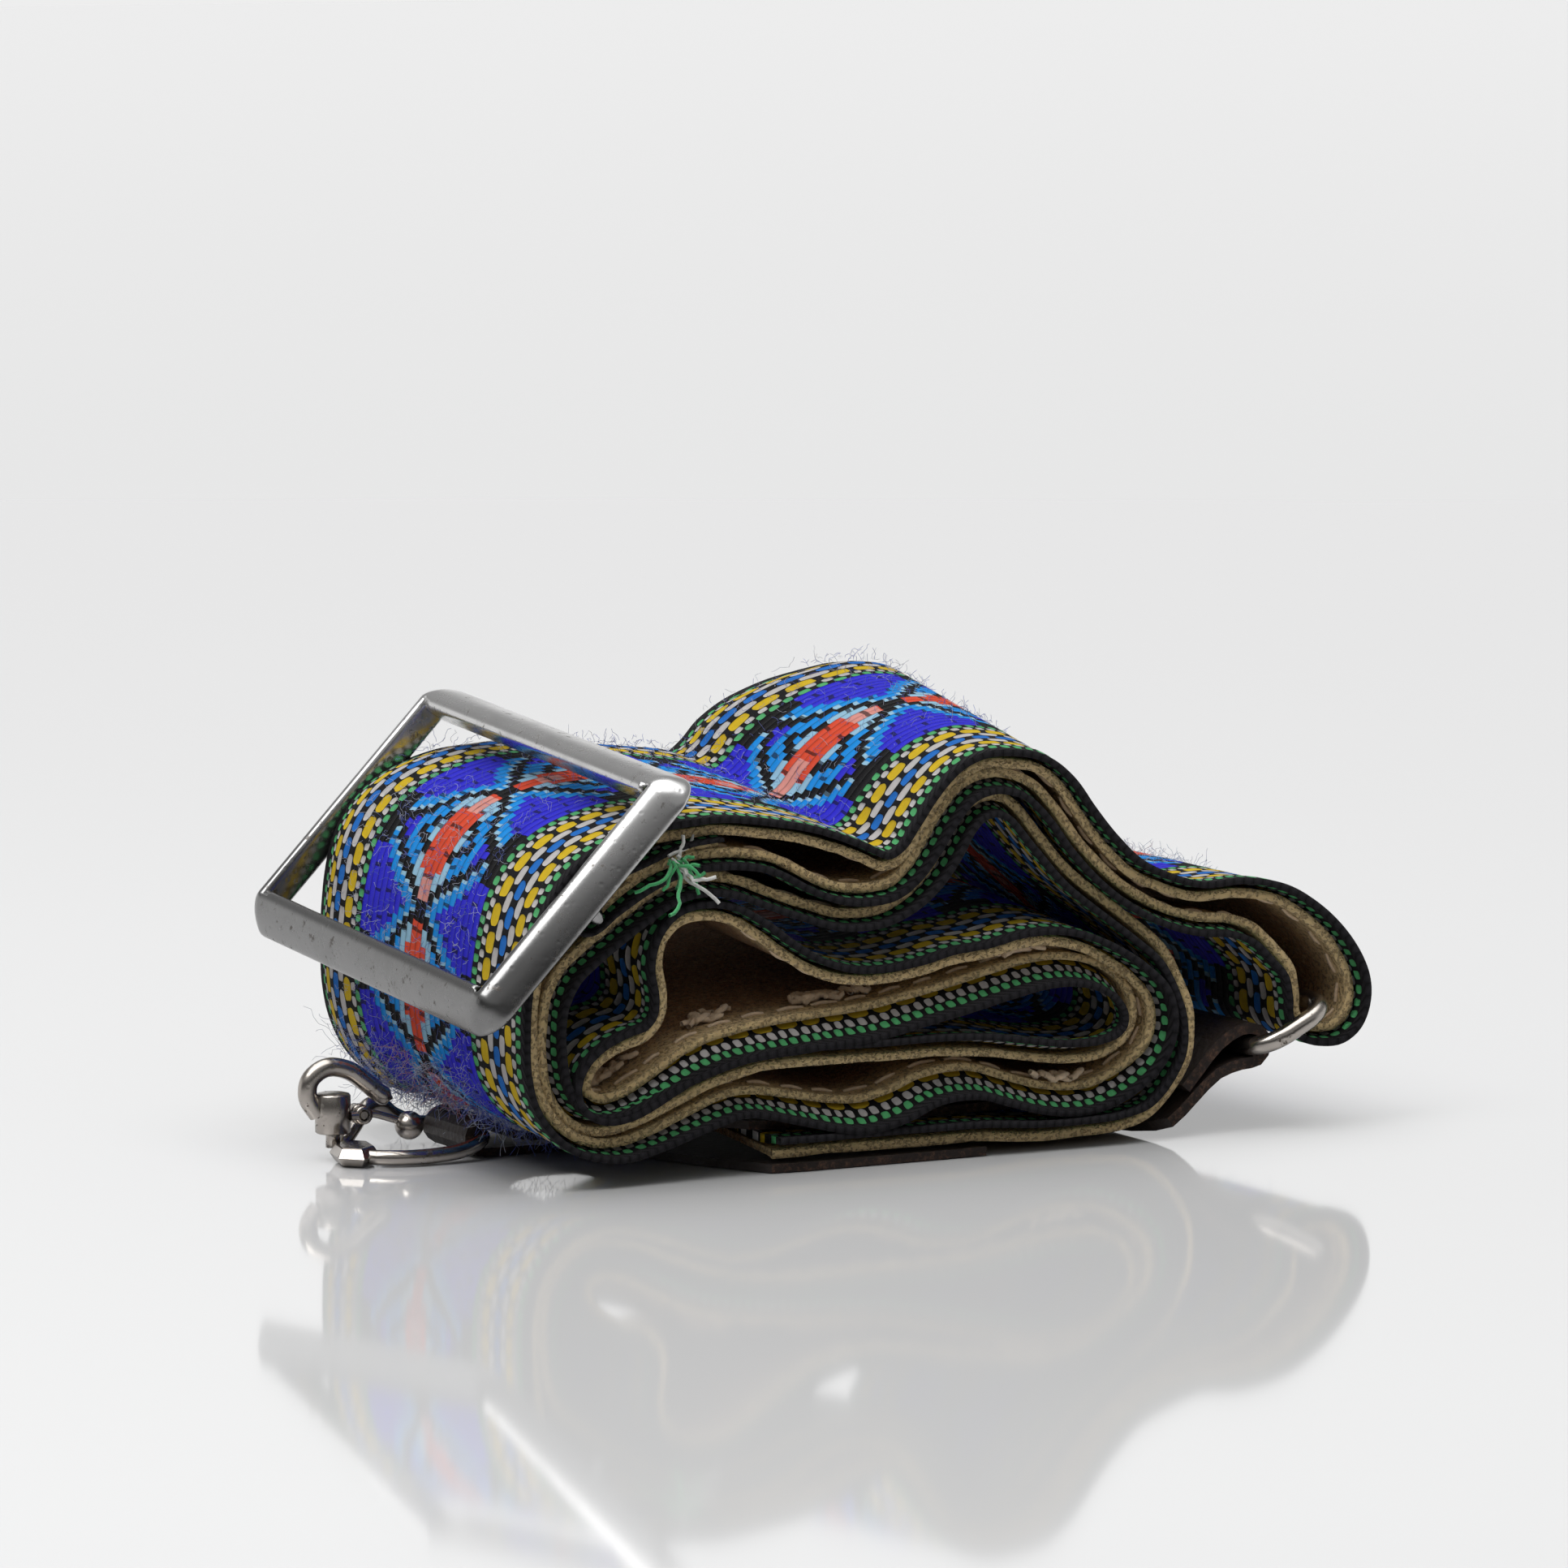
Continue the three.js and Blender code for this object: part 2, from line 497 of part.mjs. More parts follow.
function gateLever() {
  const arm = bar(throughPoints([
    [GATE.x, GATE.y, GATE.z], [GATE.x + 1.6, GATE.y, GATE.z - 0.1], [-39.6, 4.0, 4.0], [-37.6, 3.7, 3.3],
  ]), 0.42, 8, 4);
  const knob = new THREE.SphereGeometry(1.5, 14, 9).translate(-37.5, 3.6, 3.1);
  const boss = pivotDisc(GATE.boss, GATE.y - GATE.thick / 2, GATE.y + GATE.thick / 2);
  const hole = pivotDisc(GATE.pin + GATE.slack, GATE.y - 3, GATE.y + 3);
  return geometryOf(solidOf(joined(boss, arm, knob)).subtract(solidOf(hole)));
}
add("gate_lever", gateLever(), NICKEL_FINISH());

const pinReach = GATE.thick / 2 + GATE.side + GATE.cheek;
add("gate_pin", pivotDisc(GATE.pin, GATE.y - pinReach, GATE.y + pinReach), NICKEL_FINISH());

// Stand the whole assembly on z = 0, with the middle of its box at the origin.
const box = new THREE.Box3().setFromObject(strap, true);
strap.position.set(-(box.min.x + box.max.x) / 2, -(box.min.y + box.max.y) / 2, -box.min.z);

export default strap;
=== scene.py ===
"""A folded two-inch guitar strap on a pale glossy floor: woven band, suede lining, metal and leather."""

import math

import bpy
import numpy as np
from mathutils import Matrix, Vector


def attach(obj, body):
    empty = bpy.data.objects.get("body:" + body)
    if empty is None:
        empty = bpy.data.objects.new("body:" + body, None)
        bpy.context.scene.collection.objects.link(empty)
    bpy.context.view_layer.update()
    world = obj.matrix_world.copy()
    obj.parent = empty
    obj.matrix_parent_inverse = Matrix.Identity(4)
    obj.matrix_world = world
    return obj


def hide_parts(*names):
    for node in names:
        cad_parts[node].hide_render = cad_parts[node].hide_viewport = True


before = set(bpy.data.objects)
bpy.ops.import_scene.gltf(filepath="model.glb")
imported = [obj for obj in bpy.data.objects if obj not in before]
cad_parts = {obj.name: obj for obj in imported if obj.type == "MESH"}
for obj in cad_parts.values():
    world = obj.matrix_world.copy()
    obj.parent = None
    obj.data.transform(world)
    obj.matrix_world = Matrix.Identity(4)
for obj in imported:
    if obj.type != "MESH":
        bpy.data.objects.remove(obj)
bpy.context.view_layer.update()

MM = 0.001
OFFSET = np.array([-5.9357, 0.2259, -0.0452])  # the drafting frame's origin in the part's frame, mm
WIDTH = 50.8
HALF = WIDTH / 2
rng = np.random.default_rng(7)

# ---- the fold: line between band and lining at the near edge, from the cut end to the hook tab, x and z
FOLD = [
  # the end, back over the slide's bar and round it
  [-16.0, 34.5], [-20.5, 34.0], [-25.0, 32.4], [-29.4, 30.9], [-32.2, 29.9],
  [-33.3, 28.4], [-32.7, 27.0], [-31.4, 26.6], [-30.2, 27.1],
  # second layer, pattern down, over the hump and out to the ring
  [-28.4, 28.5], [-25.0, 30.8], [-21.0, 32.3], [-16.5, 32.8], [-12.0, 32.4], [-9.0, 31.5],
  [-6.0, 29.9], [-3.5, 28.8], [-1.0, 28.2], [1.5, 28.1], [4.0, 28.6], [6.2, 30.1], [8.2, 32.5],
  [10.2, 35.6], [12.6, 38.2], [15.4, 39.1], [18.2, 38.8], [20.4, 37.8], [22.9, 35.4],
  [25.6, 31.9], [29.0, 28.5], [32.7, 25.8], [36.7, 23.8], [40.6, 22.7], [44.4, 22.3],
  [47.4, 21.2], [49.8, 19.0], [51.7, 16.8], [52.3, 14.3],
  # round the ring
  [52.5, 12.1], [53.7, 10.5], [55.6, 10.0], [57.6, 10.1], [59.3, 11.2], [60.2, 13.2],
  # top layer, pattern up, back over the hump to the slide
  [60.1, 15.6], [58.2, 19.2], [54.8, 22.6], [50.6, 25.1], [45.6, 26.1], [40.6, 26.0],
  [36.7, 27.1], [32.7, 29.0], [29.6, 31.8], [26.6, 35.3], [24.3, 38.3], [21.5, 40.4],
  [18.1, 41.2], [14.6, 41.2], [11.6, 39.9], [9.1, 37.5], [7.0, 34.7], [5.3, 32.4], [3.2, 31.4],
  [0.0, 32.7], [-5.5, 34.6], [-11.3, 35.7], [-16.5, 36.3], [-20.0, 36.1],
  # the big loop on the left, pattern outside
  [-23.5, 35.8], [-27.2, 34.9], [-30.8, 33.4], [-33.7, 31.0], [-35.8, 27.6], [-36.9, 23.5],
  [-37.5, 19.0], [-37.6, 15.0], [-37.4, 11.8], [-36.6, 9.1], [-35.0, 6.7], [-32.6, 4.8],
  [-29.8, 3.9],
  # lowest full layer, pattern down
  [-27.0, 3.8], [-24.0, 4.5], [-20.0, 5.9], [-16.4, 7.2], [-13.5, 7.9], [-11.0, 7.8],
  [-6.8, 7.0], [-2.0, 6.1], [1.2, 5.9], [4.6, 6.6], [8.0, 7.9], [11.2, 8.4], [14.6, 8.2],
  [18.2, 7.1], [22.0, 6.0], [26.0, 5.5], [29.2, 5.9],
  # outer turn on the right
  [32.6, 7.4], [35.1, 9.6], [36.1, 12.6], [35.4, 15.4], [33.2, 17.7], [30.2, 19.8],
  # fourth layer, pattern up, over its own hump on the left
  [27.0, 21.4], [23.0, 22.4], [19.0, 22.3], [14.9, 21.5], [11.0, 21.1], [7.0, 20.2],
  [3.0, 19.7], [-1.0, 19.9], [-4.7, 21.0], [-8.0, 22.9], [-11.2, 25.2], [-14.5, 27.0],
  [-17.8, 27.6], [-20.6, 27.0], [-22.5, 25.2], [-23.3, 22.4], [-22.8, 19.4], [-23.0, 17.0],
  [-24.4, 15.4], [-26.6, 14.7], [-29.0, 13.6], [-30.8, 12.0], [-31.4, 10.2],
  # tight turn on the left, then fifth layer, pattern down
  [-30.7, 8.9], [-29.2, 8.3], [-27.2, 8.5], [-24.8, 9.5], [-22.2, 10.9], [-19.5, 12.3],
  [-16.5, 13.4], [-13.0, 14.1], [-8.0, 14.7], [-3.0, 15.1], [2.4, 15.5], [7.0, 16.4],
  [12.0, 17.4], [17.0, 18.5], [21.5, 19.3], [25.5, 19.3],
  # inner turn on the right, then sixth layer, pattern up
  [28.9, 18.4], [31.5, 16.7], [32.9, 14.3], [32.7, 12.0], [31.2, 10.4], [28.7, 9.6],
  [25.0, 9.5], [20.3, 10.1], [15.5, 10.9], [10.0, 11.3], [4.0, 11.3], [-2.0, 11.4],
  [-7.0, 11.5], [-12.0, 11.1], [-16.8, 10.0], [-21.2, 8.4], [-25.2, 6.8], [-28.2, 6.1],
  # up inside the big loop, suede outside
  [-31.0, 6.4], [-33.2, 7.9], [-34.6, 10.2], [-35.2, 13.0], [-35.3, 16.2], [-34.8, 19.6],
  [-33.4, 22.2], [-31.2, 24.0], [-28.2, 26.1],
  # third layer, pattern down, over the fourth one's hump
  [-24.9, 28.2], [-21.4, 29.9], [-17.6, 30.4], [-14.0, 29.8], [-10.4, 28.4], [-6.5, 27.0],
  [-3.0, 25.9], [0.0, 25.6], [3.0, 25.9], [6.0, 27.3], [8.7, 29.6], [10.7, 32.3],
  [12.1, 34.6], [13.8, 36.2], [15.8, 36.7], [17.9, 36.0], [21.0, 32.6], [24.7, 28.6],
  [29.6, 24.9], [33.0, 22.4], [36.2, 19.7],
  # outer turn on the right, down to the floor
  [38.2, 16.4], [39.4, 12.8], [39.3, 9.2], [37.6, 5.9], [34.8, 3.2],
  # lowest layer, suede down, to the end in the hook tab
  [31.4, 2.2], [27.0, 1.9], [21.0, 1.9], [15.0, 2.3], [8.0, 2.35], [0.0, 2.35], [-9.6, 2.35],
]


def smooth(a, b, v):
    t = np.clip((np.asarray(v, float) - a) / (b - a), 0, 1)
    return t * t * (3 - 2 * t)


def across(x, z, y):
    """A near-edge point of the fold as it lies further back across the band."""
    t = (y + HALF) / WIDTH
    lean = 8 * (z / 41) ** 2 * smooth(5, 15, x) * (1 - smooth(40, 55, x))
    lift = 3.95 * smooth(0, 16, z) * (1 - smooth(20, 45, x))
    hump = (2.8 * np.exp(-(((x - 4) / 7) ** 2)) + 1.4 * np.exp(-(((x - 20) / 10) ** 2))) * smooth(20, 36, z)
    arch = (1.3 * np.sin(math.pi * np.clip(t, 0, 1)) * smooth(0.8, 1.8, z)
            * np.clip(1 - (z - 4) / 22, 0, 1) * (1 - smooth(36, 48, x)))
    return x + lean * t, z + (lift + hump) * t + arch


def curve_through(points, spacing, closed=False):
    """Centripetal Catmull-Rom line through the points, resampled at even spacing."""
    p = np.asarray(points, float)
    if closed:
        p = np.vstack([p[-1], p, p[0], p[1]])
    else:
        p = np.vstack([2 * p[0] - p[1], p, 2 * p[-1] - p[-2]])
    out = []
    for p0, p1, p2, p3 in zip(p[:-3], p[1:-2], p[2:-1], p[3:]):
        t0 = 0.0
        t1 = t0 + np.linalg.norm(p1 - p0) ** 0.5
        t2 = t1 + np.linalg.norm(p2 - p1) ** 0.5
        t3 = t2 + np.linalg.norm(p3 - p2) ** 0.5
        t = np.linspace(t1, t2, 12, endpoint=False)[:, None]
        a1 = (t1 - t) / (t1 - t0) * p0 + (t - t0) / (t1 - t0) * p1
        a2 = (t2 - t) / (t2 - t1) * p1 + (t - t1) / (t2 - t1) * p2
        a3 = (t3 - t) / (t3 - t2) * p2 + (t - t2) / (t3 - t2) * p3
        b1 = (t2 - t) / (t2 - t0) * a1 + (t - t0) / (t2 - t0) * a2
        b2 = (t3 - t) / (t3 - t1) * a2 + (t - t1) / (t3 - t1) * a3
        out.append((t2 - t) / (t2 - t1) * b1 + (t - t1) / (t2 - t1) * b2)
    line = np.vstack(out + [p[-2:-1]])
    s = np.concatenate([[0], np.cumsum(np.linalg.norm(np.diff(line, axis=0), axis=1))])
    count = max(int(round(s[-1] / spacing)), 2)
    even = np.linspace(0, s[-1], count + 1)
    return np.stack([np.interp(even, s, line[:, k]) for k in range(p.shape[1])], 1), even


def noise1(s, scale, seed, octaves=3):
    """Smooth one-dimensional noise, about -1 to 1."""
    total, size = np.zeros_like(np.asarray(s, float)), 1.0
    for o in range(octaves):
        r = np.random.default_rng(seed * 17 + o)
        knots = r.uniform(-1, 1, 4096)
        q = np.asarray(s, float) / scale * 2 ** o + 500
        i = np.floor(q).astype(int)
        f = q - i
        f = f * f * (3 - 2 * f)
        total += size * (knots[i % 4096] * (1 - f) + knots[(i + 1) % 4096] * f)
        size *= 0.5
    return total / 1.6


def mesh_object(name, vertices, faces, uv=None, smooth_faces=True, body="strap"):
    """Object from millimetre vertices in the drafting frame and a quad or triangle array."""
    mesh = bpy.data.meshes.new(name)
    v = ((np.asarray(vertices) + OFFSET) * MM).astype(np.float32)
    f = np.asarray(faces, np.int32)
    mesh.vertices.add(len(v))
    mesh.vertices.foreach_set("co", v.ravel())
    mesh.loops.add(f.size)
    mesh.loops.foreach_set("vertex_index", f.ravel())
    mesh.polygons.add(len(f))
    mesh.polygons.foreach_set("loop_start", np.arange(0, f.size, f.shape[1], dtype=np.int32))
    mesh.update(calc_edges=True)
    if uv is not None:
        layer = mesh.uv_layers.new(name="cloth")
        layer.data.foreach_set("uv", np.asarray(uv, np.float32)[f.ravel()].ravel())
    mesh.polygons.foreach_set("use_smooth", np.full(len(f), smooth_faces))
    obj = bpy.data.objects.new(name, mesh)
    bpy.context.scene.collection.objects.link(obj)
    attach(obj, body)
    return obj


def grid_faces(rows, columns, closed_rows=False, closed_columns=True):
    i = np.arange(rows if closed_rows else rows - 1)[:, None]
    j = np.arange(columns if closed_columns else columns - 1)[None, :]
    k, l = (i + 1) % rows, (j + 1) % columns
    corners = np.broadcast_arrays(i * columns + j, i * columns + l, k * columns + l, k * columns + j)
    return np.stack(corners, -1).reshape(-1, 4)


# ---- node expressions ------------------------------------------------------------------------------
class Value:
    """A number in a node tree, with arithmetic."""

    def __init__(self, tree, socket):
        self.tree, self.socket = tree, socket

    def math(self, operation, *others):
        node = self.tree.nodes.new("ShaderNodeMath")
        node.operation = operation
        for slot, value in zip(node.inputs, (self, *others)):
            if isinstance(value, Value):
                self.tree.links.new(value.socket, slot)
            else:
                slot.default_value = value
        return Value(self.tree, node.outputs[0])

    def __add__(self, o): return self.math("ADD", o)
    def __sub__(self, o): return self.math("SUBTRACT", o)
    def __mul__(self, o): return self.math("MULTIPLY", o)
    def __truediv__(self, o): return self.math("DIVIDE", o)
    def __radd__(self, o): return self.math("ADD", o)
    def __rmul__(self, o): return self.math("MULTIPLY", o)
    def __rsub__(self, o): return (self * -1.0).math("ADD", o)
    def __lt__(self, o): return self.math("LESS_THAN", o)
    def __gt__(self, o): return self.math("GREATER_THAN", o)
    def abs(self): return self.math("ABSOLUTE")
    def floor(self): return self.math("FLOOR")
    def frac(self): return self.math("FRACT")
    def sin(self): return self.math("SINE")
    def power(self, o): return self.math("POWER", o)
    def lowest(self, o): return self.math("MINIMUM", o)
    def highest(self, o): return self.math("MAXIMUM", o)
    def wrap(self, period): return self.math("FLOORED_MODULO", period)

    def step(self, low, high):
        node = self.tree.nodes.new("ShaderNodeMapRange")
        node.interpolation_type = "SMOOTHSTEP"
        self.tree.links.new(self.socket, node.inputs["Value"])
        node.inputs["From Min"].default_value = low
        node.inputs["From Max"].default_value = high
        return Value(self.tree, node.outputs["Result"])


class Paint:
    """A material under construction: a colour, a height and a Principled shader."""

    def __init__(self, name):
        self.material = bpy.data.materials.new(name)
        self.material.use_nodes = True
        self.tree = self.material.node_tree
        self.shader = self.tree.nodes["Principled BSDF"]

    def node(self, kind, **values):
        n = self.tree.nodes.new(kind)
        for key, value in values.items():
            setattr(n, key, value)
        return n

    def uv(self):
        n = self.node("ShaderNodeUVMap", uv_map="cloth")
        parts = self.node("ShaderNodeSeparateXYZ")
        self.tree.links.new(n.outputs[0], parts.inputs[0])
        return Value(self.tree, parts.outputs[0]), Value(self.tree, parts.outputs[1])

    def place(self):
        return self.node("ShaderNodeTexCoord").outputs["Object"]

    def vector(self, x, y, z=0.0):
        n = self.node("ShaderNodeCombineXYZ")
        for slot, value in zip(n.inputs, (x, y, z)):
            if isinstance(value, Value):
                self.tree.links.new(value.socket, slot)
            else:
                slot.default_value = value
        return n.outputs[0]

    def noise(self, vector, scale, detail=3.0, rough=0.6):
        n = self.node("ShaderNodeTexNoise")
        self.tree.links.new(vector, n.inputs["Vector"])
        n.inputs["Scale"].default_value = scale
        n.inputs["Detail"].default_value = detail
        n.inputs["Roughness"].default_value = rough
        return Value(self.tree, n.outputs["Fac"])

    def cells(self, vector, scale):
        n = self.node("ShaderNodeTexVoronoi")
        self.tree.links.new(vector, n.inputs["Vector"])
        n.inputs["Scale"].default_value = scale
        return Value(self.tree, n.outputs["Distance"])

    def mix(self, factor, a, b):
        n = self.node("ShaderNodeMix", data_type="RGBA")
        for slot, value in zip((n.inputs[0], n.inputs[6], n.inputs[7]), (factor, a, b)):
            if isinstance(value, Value):
                self.tree.links.new(value.socket, slot)
            elif isinstance(value, bpy.types.NodeSocket):
                self.tree.links.new(value, slot)
            elif isinstance(value, tuple):
                slot.default_value = (*value, 1.0)
            else:
                slot.default_value = value
        return n.outputs[2]

    def set(self, **values):
        for key, value in values.items():
            slot = self.shader.inputs[key.replace("_", " ")]
            if isinstance(value, Value):
                self.tree.links.new(value.socket, slot)
            elif isinstance(value, bpy.types.NodeSocket):
                self.tree.links.new(value, slot)
            elif isinstance(value, tuple):
                slot.default_value = (*value, 1.0)
            else:
                slot.default_value = value
        return self

    def bump(self, height, distance, strength=1.0):
        n = self.node("ShaderNodeBump")
        n.inputs["Distance"].default_value = distance
        n.inputs["Strength"].default_value = strength
        self.tree.links.new(height.socket, n.inputs["Height"])
        self.tree.links.new(n.outputs[0], self.shader.inputs["Normal"])
        return self


def rgb(r, g, b):
    """Linear colour from the 0-255 numbers seen on the object."""
    return tuple(((c / 255 + 0.055) / 1.055) ** 2.4 if c > 10 else c / 255 / 12.92 for c in (r, g, b))


BLACK = rgb(12, 11, 14)
GREEN = rgb(92, 190, 120)
WHITE = rgb(214, 210, 208)
YELLOW = rgb(232, 196, 34)
BLUE = rgb(32, 120, 214)
PALE = rgb(166, 214, 240)
AZURE = rgb(24, 156, 246)
ULTRA = rgb(52, 48, 226)
RED = rgb(240, 84, 52)
PINK = rgb(240, 175, 165)

# width of each border column from the selvage inwards, its pitch along the band, the dash's share of it,
# its phase and its colour
COLUMNS = [
    (1.05, 1.32, 0.64, 0.00, GREEN), (1.05, 1.32, 0.64, 0.50, WHITE), (1.75, 2.80, 0.80, 0.10, YELLOW),
    (1.25, 2.80, 0.76, 0.60, WHITE), (1.40, 2.80, 0.72, 0.10, BLUE), (1.25, 2.80, 0.76, 0.60, WHITE),
    (1.75, 2.80, 0.80, 0.10, YELLOW), (1.05, 1.32, 0.64, 0.50, WHITE), (1.15, 1.32, 0.64, 0.00, GREEN),
]
SELVAGE = 0.45
MOTIF_PERIOD = 15.5
YARN = 1.2


def weave_material():
    p = Paint("jacquard")
    along, side = p.uv()
    cloth = p.vector(along, side)
    sway = p.noise(p.vector(along * 0.35, side * 0.35), 1.0, 2) - 0.5
    u = along + sway * 0.9
    w = side.lowest(WIDTH - side) + (p.noise(p.vector(along, side * 2.0), 0.6, 2) - 0.5) * 0.25
    colour, height = p.mix(0.0, BLACK, BLACK), (along * 5.2 + side * 1.0).sin() * 0.12 + 0.12
    start = SELVAGE
    for width, pitch, share, phase, tint in COLUMNS:
        f = (u / pitch + phase).frac() / share - 0.5
        g = (w - (start + width / 2)) / (width * 0.98)
        shape = (f * 2).abs().power(3.2) + (g * 2).abs().power(3.2)
        dome = (1.0 - shape).highest(0.0)
        mask = dome.step(0.0, 0.12)
        shade = p.mix(p.noise(cloth, 2.2, 3) * 0.5, tint, tuple(c * 0.55 for c in tint))
        colour = p.mix(mask, colour, shade)
        height = height.highest(dome.power(0.5) * 0.9)
        start += width
    inner = start
    # the motif's yarns run along the band; each keeps one colour until the pattern changes it
    d = HALF - w
    column = (d / YARN).floor()
    dq = (column + 0.5) * YARN
    uq = u + ((column * 7.13).sin() * 0.35)
    t = (uq.wrap(MOTIF_PERIOD) - MOTIF_PERIOD / 2).abs()
    s = dq - t * 1.35
    red_width = t.step(2.6, 5.2) * 1.9 + 0.8
    m = p.mix((dq - red_width).step(-0.05, 0.05), RED, PALE)
    m = p.mix((dq - 3.7).step(-0.05, 0.05), m, AZURE)
    m = p.mix((dq - 7.3).step(-0.05, 0.05), m, ULTRA)
    chevron = ((s + 4.9).abs() < 0.9) * (dq > 1.9)
    m = p.mix(chevron, m, BLACK)
    pinks = ((column * 3.1 + (u / 2.6).floor() * 1.7).sin() > 0.55) * (dq < 1.7)
    m = p.mix(pinks * 0.8, m, PINK)
    sides = p.mix((s - 3.6).step(-0.05, 0.05), AZURE, ULTRA)
    sides = p.mix((s - 1.5).step(-0.05, 0.05), PALE, sides)
    m = p.mix(s > 0.0, m, sides)
    m = p.mix(s.abs() < 0.95, m, BLACK)
    m = p.mix((dq > 10.3) * (t > 4.7), m, BLACK)
    stop = ((uq + column * 2.37) / 5.6).frac() < 0.07
    m = p.mix(stop * 0.8, m, BLACK)
    tone = p.noise(p.vector(along * 0.6, side * 6.0), 1.6, 4)
    m = p.mix(tone * 0.12, m, BLACK)
    yarn = (d * (math.pi / YARN)).sin().abs().power(0.6)
    # painted shade: the grooves between the motif's yarns are darkened towards black
    m = p.mix((0.60 - yarn).highest(0.0) * 0.8, m, BLACK)
    in_motif = w > inner
    colour = p.mix(in_motif, colour, m)
    rough = yarn * (1.0 - stop * 0.7)
    height = height * (1.0 - in_motif) + rough * in_motif * 1.05
    selvage = w < SELVAGE
    twist = ((along * 2.9 + side * 3.4).sin().abs() * 0.45)
    height = height * (1.0 - selvage) + twist * selvage
    # painted highlight: the selvage's raised twist ridges are painted lighter grey
    colour = p.mix(selvage * twist * 1.2, colour, rgb(48, 46, 50))
    lint = p.noise(p.vector(along * 1.0, side * 1.0), 9.0, 5, 0.75)
    colour = p.mix(lint.step(0.62, 0.82) * 0.22, colour, rgb(150, 160, 195))
    fibre = p.noise(p.vector(along * 6.0, side * 12.0), 2.4, 4, 0.7)
    p.set(Base_Color=colour, Roughness=0.82, Sheen_Weight=0.03, Sheen_Roughness=0.4, Specular_IOR_Level=0.12)
    p.bump(height + fibre * 0.35, 0.0006, 0.95)
    return p.material


def suede_material():
    p = Paint("suede")
    along, side = p.uv()
    here = p.place()
    grain = p.noise(here, 1700.0, 5, 0.8)
    patch = p.noise(here, 130.0, 3)
    # painted shade: the suede is painted darker brown further in from its edges, where it lies inside the
    # folds; the tan near the edges is its lit colour
    inward = (side.lowest(WIDTH - side)).step(1.5, 9.0)
    lit_edge_colour = p.mix(patch, rgb(240, 212, 156), rgb(214, 182, 126))
    shaded_face_colour = p.mix(patch, rgb(186, 138, 84), rgb(140, 98, 60))
    colour = p.mix(inward, lit_edge_colour, shaded_face_colour)
    pores = p.noise(here, 2300.0, 2, 0.6).step(0.36, 0.52)
    colour = p.mix((1.0 - pores) * 0.55, colour, rgb(104, 76, 46))
    colour = p.mix(grain.step(0.48, 0.72) * 0.45, colour, rgb(226, 202, 152))
    p.set(Base_Color=colour, Roughness=0.95, Sheen_Weight=0.15, Sheen_Roughness=0.6, Specular_IOR_Level=0.1)
    p.bump(grain * 0.8 + pores * 0.6, 0.0006, 1.0)
    return p.material


def metal_material(name, base, roughness, pitted, shaded_below=None):
    """Old plating; the last argument gives the heights in metres between which painted shade below gives way
    to its full colour above.
    """
    p = Paint(name)
    here = p.place()
    smudge = p.noise(here, 160.0, 4, 0.6)
    pits = p.cells(here, 900.0).step(0.05, 0.30)
    spots = p.noise(here, 700.0, 3, 0.7).step(0.60, 0.70)
    colour = p.mix(smudge.step(0.45, 0.75) * 0.5, base, tuple(c * 0.72 for c in base))
    # painted shade: below the given heights the colour is darkened most of the way to a sixth of the base
    if shaded_below:
        parts = p.node("ShaderNodeSeparateXYZ")
        p.tree.links.new(here, parts.inputs[0])
        bright = Value(p.tree, parts.outputs[2]).step(*shaded_below)
        colour = p.mix(bright, p.mix(0.82, colour, tuple(c * 0.16 for c in base)), colour)
    colour = p.mix(spots * pitted, colour, rgb(70, 62, 54))
    p.set(Base_Color=colour, Metallic=1.0, Roughness=smudge * 0.22 + roughness + spots * (0.3 * pitted))
    p.bump(pits * (0.5 * pitted) + p.noise(here, 420.0, 3) * 0.6, 0.00006, 0.6)
    return p.material


def leather_material():
    p = Paint("black_leather")
    here = p.place()
    geometry = p.node("ShaderNodeNewGeometry")
    parts = p.node("ShaderNodeSeparateXYZ")
    p.tree.links.new(geometry.outputs["True Normal"], parts.inputs[0])
    cut = Value(p.tree, parts.outputs[1]).abs().step(0.55, 0.8)
    grain = p.cells(here, 1300.0)
    fuzz = p.noise(here, 1500.0, 5, 0.75)
    colour = p.mix(fuzz, rgb(26, 22, 21), rgb(48, 38, 34))
    colour = p.mix(cut, colour, p.mix(fuzz.step(0.45, 0.75), rgb(30, 20, 16), rgb(92, 66, 50)))
    p.set(Base_Color=colour, Roughness=cut * 0.45 + 0.38 + fuzz * 0.1, Specular_IOR_Level=0.45)
    p.bump(grain * 0.5 + fuzz * 0.7, 0.00016, 0.8)
    return p.material


def thread_material(name, tint):
    p = Paint(name)
    here = p.place()
    ply = p.noise(here, 2600.0, 3, 0.7)
    p.set(Base_Color=p.mix(ply, tint, tuple(c * 0.45 for c in tint)), Roughness=0.85, Sheen_Weight=0.3)
    p.bump(ply, 0.0001, 0.8)
    return p.material


JACQUARD, SUEDE, LEATHER = weave_material(), suede_material(), leather_material()
# the slide gets painted shade on its parts lower than 22 to 46 mm
NICKEL = metal_material("nickel", (0.70, 0.695, 0.69), 0.15, 0.7, shaded_below=(0.022, 0.046))
DARK_NICKEL = metal_material("dark_nickel", (0.42, 0.385, 0.35), 0.13, 0.9)
THREAD = thread_material("cream_thread", rgb(236, 208, 174))
FUZZ = {name: thread_material(name + "_fibre", tint) for name, tint in
        dict(blue=rgb(80, 100, 190), pale=rgb(190, 196, 214), pink=rgb(214, 150, 156),
             green=rgb(60, 170, 100), white=rgb(225, 225, 220)).items()}

